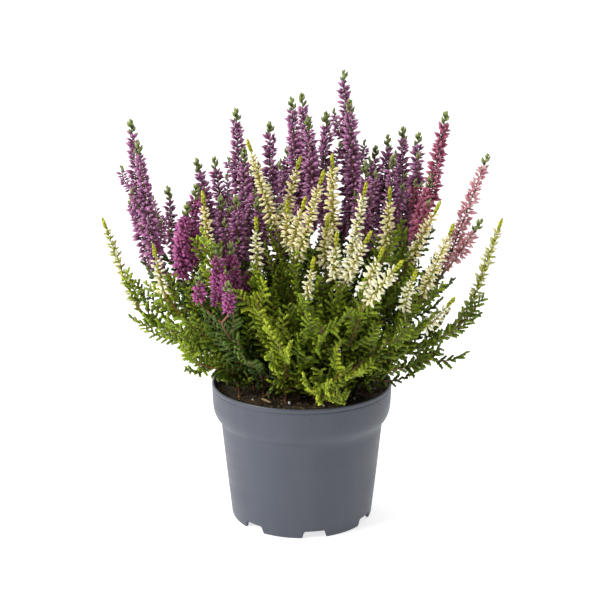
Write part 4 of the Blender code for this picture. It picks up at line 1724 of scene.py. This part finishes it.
@dataclass
class NurseryPot:
    """The tapered pot with its rolled band, thin lip, notched foot and drain holes."""

    height: float = 93.0
    rim: float = 60.0
    band: float = 26.0
    foot: float = 47.6
    shoulder: float = 54.4
    wall: float = 1.3
    floor_top: float = 8.0
    floor: float = 1.5
    notches: int = 7
    notch_turn: float = math.radians(10.0)
    notch_width: float = 15.0
    notch_height: float = 5.0
    drains: int = 6
    drain: float = 4.0
    drain_circle: float = 30.0
    drain_sides: int = 28
    crease: float = math.radians(38.0)
    sides: int = 144

    @property
    def level(self) -> float:
        """The height of the band's lower edge."""
        return self.height - self.band

    def inner(self, height: float) -> float:
        """The radius inside the wall."""
        return self.foot + (self.shoulder - self.foot) / self.level * min(height, self.level) - self.wall

    def outline(self) -> list[tuple[float, float]]:
        """The pot's cross-section, with its small roundings.

        Returns:
            Radius and height of each corner, in millimetres.
        """
        level, rim, top = self.level, self.rim, self.height
        foot, shoulder = self.foot, self.shoulder
        under = self.floor_top - self.floor
        heel = foot - self.wall
        lip = rim - self.wall
        underside = [(0.0, under), (heel - 1.2, under), (heel - 0.9, under - 0.4), (heel - 0.8, 0.3),
                     (heel - 0.6, 0.0), (foot - 0.7, 0.0), (foot - 0.25, 0.15)]
        outside = [(foot - 0.02, 0.6), (foot + 0.15, 1.5), (foot + 2.0, level * 0.28),
                   (foot + 3.9, level * 0.56), (shoulder - 0.5, level * 0.93), (shoulder - 0.12, level - 0.9),
                   (shoulder + 0.25, level - 0.25), (shoulder + 0.9, level + 0.35)]
        band = [(rim - 3.9, level + 1.5), (rim - 2.9, level + 2.9), (rim - 2.1, level + 4.4),
                (rim - 1.4, level + 6.1), (rim - 0.85, level + 8.3), (rim - 0.5, level + 11.0),
                (rim - 0.3, level + 15.0), (rim - 0.1, top - 4.2), (rim - 0.05, top - 3.2)]
        edge = [(rim - 0.28, top - 2.85), (rim - 0.28, top - 2.55), (rim - 0.02, top - 2.2), (rim, top - 0.8),
                (rim - 0.12, top - 0.3), (rim - 0.45, top - 0.02), (rim - 0.9, top - 0.02),
                (lip + 0.05, top - 0.25), (lip - 0.1, top - 0.9)]
        inside = [(lip - 0.3, level + 9.0), (lip - 1.3, level + 6.0),
                  (shoulder - self.wall + 0.9, level + 1.2), (shoulder - self.wall, level - 0.4),
                  (self.inner(self.floor_top + 1.5), self.floor_top + 1.5),
                  (self.inner(self.floor_top) - 0.8, self.floor_top), (0.0, self.floor_top)]
        return underside + outside + band + edge + inside

    def notch_cutter(self, turn: float) -> bpy.types.Object:
        """A prism with slanted sides and rounded upper corners that cuts one notch.

        Args:
            turn: The notch's place round the foot.

        Returns:
            The cutter.
        """
        half, top = self.notch_width / 2, self.notch_height
        right = [(half + 0.9, -1.0), (half + 0.7, 0.2), (half + 0.1, 1.5), (half - 0.3, top - 1.4),
                 (half - 0.7, top - 0.5), (half - 1.5, top)]
        left = [(-across, height) for across, height in reversed(right)]
        bm = bmesh.new()
        rows = []
        for out in (self.foot - 7.0, self.foot + 5.0):
            rows.append([bm.verts.new(Vector((out * math.cos(turn) - across * math.sin(turn),
                                              out * math.sin(turn) + across * math.cos(turn), height)) * MM)
                         for across, height in left[-1:] + right + left[:-1]])
        skin(bm, rows)
        bm.faces.new(list(reversed(rows[0])))
        bm.faces.new(rows[1])
        return mesh_object("notch", bm, smooth=False)

    def drain_cutter(self, turn: float) -> bpy.types.Object:
        """A round prism that cuts one drain hole.

        Args:
            turn: The hole's place round the floor.

        Returns:
            The cutter.
        """
        bm = bmesh.new()
        bmesh.ops.create_cone(bm, cap_ends=True, segments=self.drain_sides, radius1=self.drain * MM,
                              radius2=self.drain * MM, depth=6.0 * MM)
        spot = Vector((self.drain_circle * math.cos(turn), self.drain_circle * math.sin(turn),
                       self.floor_top - 1.0))
        bmesh.ops.translate(bm, vec=spot * MM, verts=bm.verts)
        return mesh_object("drain", bm, smooth=False)

    def cut(self, pot: bpy.types.Object) -> None:
        """Cuts the notches and the drain holes.

        Args:
            pot: The turned pot.
        """
        start = self.notch_turn - QUARTER
        cutters = [self.notch_cutter(start + math.tau * k / self.notches) for k in range(self.notches)]
        cutters += [self.drain_cutter(math.tau * k / self.drains) for k in range(self.drains)]
        group = bpy.data.collections.new("pot_cutters")
        bpy.context.scene.collection.children.link(group)
        for cutter in cutters:
            bpy.context.scene.collection.objects.unlink(cutter)
            group.objects.link(cutter)
        cut = pot.modifiers.new("cut", "BOOLEAN")
        cut.operation = "DIFFERENCE"
        cut.operand_type = "COLLECTION"
        cut.collection = group
        cut.solver = "EXACT"
        take_result(pot)
        for cutter in cutters:
            bpy.data.objects.remove(cutter)
        bpy.data.collections.remove(group)

    def build(self, material: Material) -> None:
        """Turns the pot, cuts it, sets its creases, and hands it over.

        Args:
            material: The plastic.
        """
        pot = mesh_object("nursery_pot", lathe(self.outline(), self.sides))
        self.cut(pot)
        bm = bmesh.new()
        bm.from_mesh(pot.data)
        bmesh.ops.triangulate(bm, faces=[face for face in bm.faces if len(face.verts) > 4])
        for edge in bm.edges:
            edge.smooth = not (len(edge.link_faces) == 2 and edge.calc_face_angle(0.0) > self.crease)
        for face in bm.faces:
            face.smooth = True
        bm.to_mesh(pot.data)
        bm.free()
        pot.data.materials.clear()
        pot.data.materials.append(material)
        hand_over(pot, "pot")


@dataclass
class PeatBed:
    """The root ball of peat, with crumbs, fibres, a straw and a few mineral specks."""

    pot: NurseryPot
    trees: GrowthTrees
    shapes: SmallShapes
    materials: dict[str, Material]
    top: float = 86.0
    swell: float = 1.1
    gap: float = 0.3
    sides: int = 96
    rings: int = 22
    straw: tuple[Triple, ...] = (
        (-26.0, -27.0, 2.8), (-24.0, -29.0, 2.8), (-21.0, -31.0, 2.0), (-18.5, -32.5, 1.6))
    specks: tuple[Triple, ...] = (
        (-8.0, -31.0, 1.1), (14.0, -33.0, 0.7), (34.0, -24.0, 0.7), (-32.0, -25.0, 0.7))

    def level(self, x: float, y: float) -> float:
        """The height of the peat's surface, with small lumps.

        Args:
            x: The place across, in millimetres.
            y: The place in depth, in millimetres.

        Returns:
            The height in millimetres.
        """
        wave = self.swell * (math.sin(0.11 * x + 0.6) * math.cos(0.13 * y) - 0.3)
        lumps = noise.noise(Vector((x, y, 3.0)) * 0.16) * 1.2 + noise.noise(Vector((x, y, 9.0)) * 0.45) * 0.55
        return self.top + wave + lumps

    def body(self) -> bpy.types.Object:
        """The closed bed, with its upper faces marked for the litter.

        Returns:
            The bed.
        """
        pot = self.pot
        floor = pot.floor_top + self.gap
        edge = pot.shoulder - pot.wall
        outer = pot.rim - pot.wall - self.gap - 0.35
        profile = [(0.0, floor), (pot.inner(floor) - self.gap - 1.0, floor),
                   (edge - self.gap, pot.level - 1.0), (edge + 1.2, pot.level + 4.0),
                   (outer - 0.3, pot.level + 9.0), (outer, self.top)]
        bm = lathe(profile, self.sides)
        rim = [vert for vert in bm.verts if vert.co.z > (self.top - 0.1) * MM]
        rim.sort(key=lambda vert: math.atan2(vert.co.y, vert.co.x))
        for vert in rim:
            vert.co.z = self.level(vert.co.x / MM, vert.co.y / MM) * MM
        angles = [math.atan2(vert.co.y, vert.co.x) for vert in rim]
        rows = [rim]
        for k in range(1, self.rings):
            radius = outer * (1.0 - k / self.rings)
            spots = [(radius * math.cos(angle), radius * math.sin(angle)) for angle in angles]
            rows.append([bm.verts.new(Vector((x, y, self.level(x, y))) * MM) for x, y in spots])
        rows.append([bm.verts.new((0.0, 0.0, self.level(0.0, 0.0) * MM))])
        layer = bm.faces.layers.float.new("top")
        for face in skin(bm, rows):
            face[layer] = 1.0
        return mesh_object("peat_bed", bm)

    def lay_straw(self) -> None:
        """Lays the straw on the peat."""
        bm, layer = self.shapes.new()
        level = self.level(-22.0, -29.0)
        tube(bm, layer, [(x, y, level + rise) for x, y, rise in self.straw], (0.5, 0.8, 0.7), 6)
        straw = mesh_object("straw", bm)
        straw.data.materials.append(self.materials["straw"])
        hand_over(straw, None)

    def strew_specks(self) -> None:
        """Strews the mineral specks."""
        bm = bmesh.new()
        for x, y, size in self.specks:
            spot = Vector((x, y, self.level(x, y) + 1.3))
            for vert in bmesh.ops.create_icosphere(bm, subdivisions=2, radius=size * MM)["verts"]:
                vert.co *= 1.0 + 0.3 * noise.noise(vert.co * 900.0)
                vert.co += spot * MM
        specks = mesh_object("mineral_specks", bm)
        specks.data.materials.append(self.materials["mineral"])
        hand_over(specks, None)

    def build(self) -> None:
        """Makes the bed, strews it, and hands it over with what lies on it."""
        bed = self.body()
        grow(bed, self.trees.litter, {"Crumb": self.shapes.made["crumb"], "Fibre": self.shapes.made["fibre"],
                                      "Finish": self.materials["peat"]})
        hand_over(bed, "soil")
        self.lay_straw()
        self.strew_specks()


# Studio


@dataclass(frozen=True)
class Lamp:
    """One soft square light: its place and side in metres, its power in watts and its colour."""

    name: str
    place: Triple
    size: float
    power: float
    colour: Triple

    def build(self, target: Triple) -> None:
        """Hangs the light.

        Args:
            target: What it points at, in metres.
        """
        lamp = bpy.data.lights.new(self.name, "AREA")
        lamp.size = self.size
        lamp.energy = self.power
        lamp.color = self.colour
        obj = show(bpy.data.objects.new(self.name, lamp))
        obj.location = self.place
        obj.rotation_euler = (Vector(self.place) - Vector(target)).to_track_quat("Z", "Y").to_euler()


@dataclass
class Studio:
    """The floor, the soft lights and the camera at the photograph's angle, in metres."""

    camera_place: Triple = (-0.0012, -0.750, 0.3423)
    camera_pitch: float = math.radians(75.47)
    lens: float = 70.7
    sensor: float = 36.0
    target: Triple = (0.0, 0.0, 0.14)
    ambient: float = 0.17
    floor_front: float = -3.0
    floor_back: float = 1.2
    floor_half: float = 4.0
    sweep: float = 0.9
    sweep_steps: int = 12
    wall_top: float = 3.0
    lamps: tuple[Lamp, ...] = (
        Lamp("key", (-1.42, -0.7, 1.12), 0.8, 33.0, (1.0, 0.99, 0.97)),
        Lamp("fill", (1.3, -0.8, 0.7), 1.2, 1.1, (0.97, 0.98, 1.0)),
        Lamp("top", (0.1, 0.3, 1.7), 1.2, 8.5, (1.0, 1.0, 1.0)))

    def floor(self, paper: Material) -> None:
        """A pale floor that sweeps up behind the object.

        Args:
            paper: Its material.
        """
        bm = bmesh.new()
        profile = [(self.floor_front, 0.0), (self.floor_back, 0.0)]
        for share in steps(self.sweep_steps)[1:]:
            angle = share * math.pi / 2
            profile.append((self.floor_back + self.sweep * math.sin(angle),
                            self.sweep - self.sweep * math.cos(angle)))
        profile.append((self.floor_back + self.sweep, self.wall_top))
        left, right = ([bm.verts.new((x, y, z)) for y, z in profile]
                       for x in (-self.floor_half, self.floor_half))
        for i in range(len(profile) - 1):
            bm.faces.new((left[i], right[i], right[i + 1], left[i + 1]))
        floor = mesh_object("studio_floor", bm)
        floor.data.materials.append(paper)

    def world(self) -> None:
        """A white world that gives a little even light."""
        world = bpy.data.worlds.new("studio")
        world.use_nodes = True
        background = world.node_tree.nodes["Background"]
        background.inputs["Color"].default_value = (1.0, 1.0, 1.0, 1.0)
        background.inputs["Strength"].default_value = self.ambient
        bpy.context.scene.world = world

    def build(self, paper: Material) -> None:
        """Sets the stage.

        Args:
            paper: The floor's material.
        """
        self.floor(paper)
        for lamp in self.lamps:
            lamp.build(self.target)
        self.world()
        bpy.context.scene.view_settings.view_transform = "Standard"
        camera = show(bpy.data.objects.new("camera", bpy.data.cameras.new("camera")))
        camera.data.lens = self.lens
        camera.data.sensor_width = self.sensor
        camera.location = self.camera_place
        camera.rotation_euler = Euler((self.camera_pitch, 0.0, 0.0))
        bpy.context.scene.camera = camera


def main() -> None:
    """Builds the pot, the peat and every plant, then the studio."""
    logging.basicConfig(level=logging.INFO, format="%(message)s")
    noise.seed_set(NOISE_SEED)
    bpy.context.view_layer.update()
    trees = GrowthTrees()
    shapes = SmallShapes()
    shapes.build()
    materials = {name: finish.build() for name, finish in FINISHES.items()}
    pot = NurseryPot()
    pot.build(materials["plastic"])
    PeatBed(pot, trees, shapes, materials).build()
    for number, stem in enumerate(read_plan()):
        LeafyStem(stem, 100 + number, trees, shapes, materials).build()
        for k, spray in enumerate(stem.sprays):
            FlowerSpray(spray, GROWTH.root(stem), 500 + number * 10 + k, trees, shapes, materials).build()
    shapes.clear()
    Studio().build(materials["paper"])


if __name__ == "__main__":
    main()
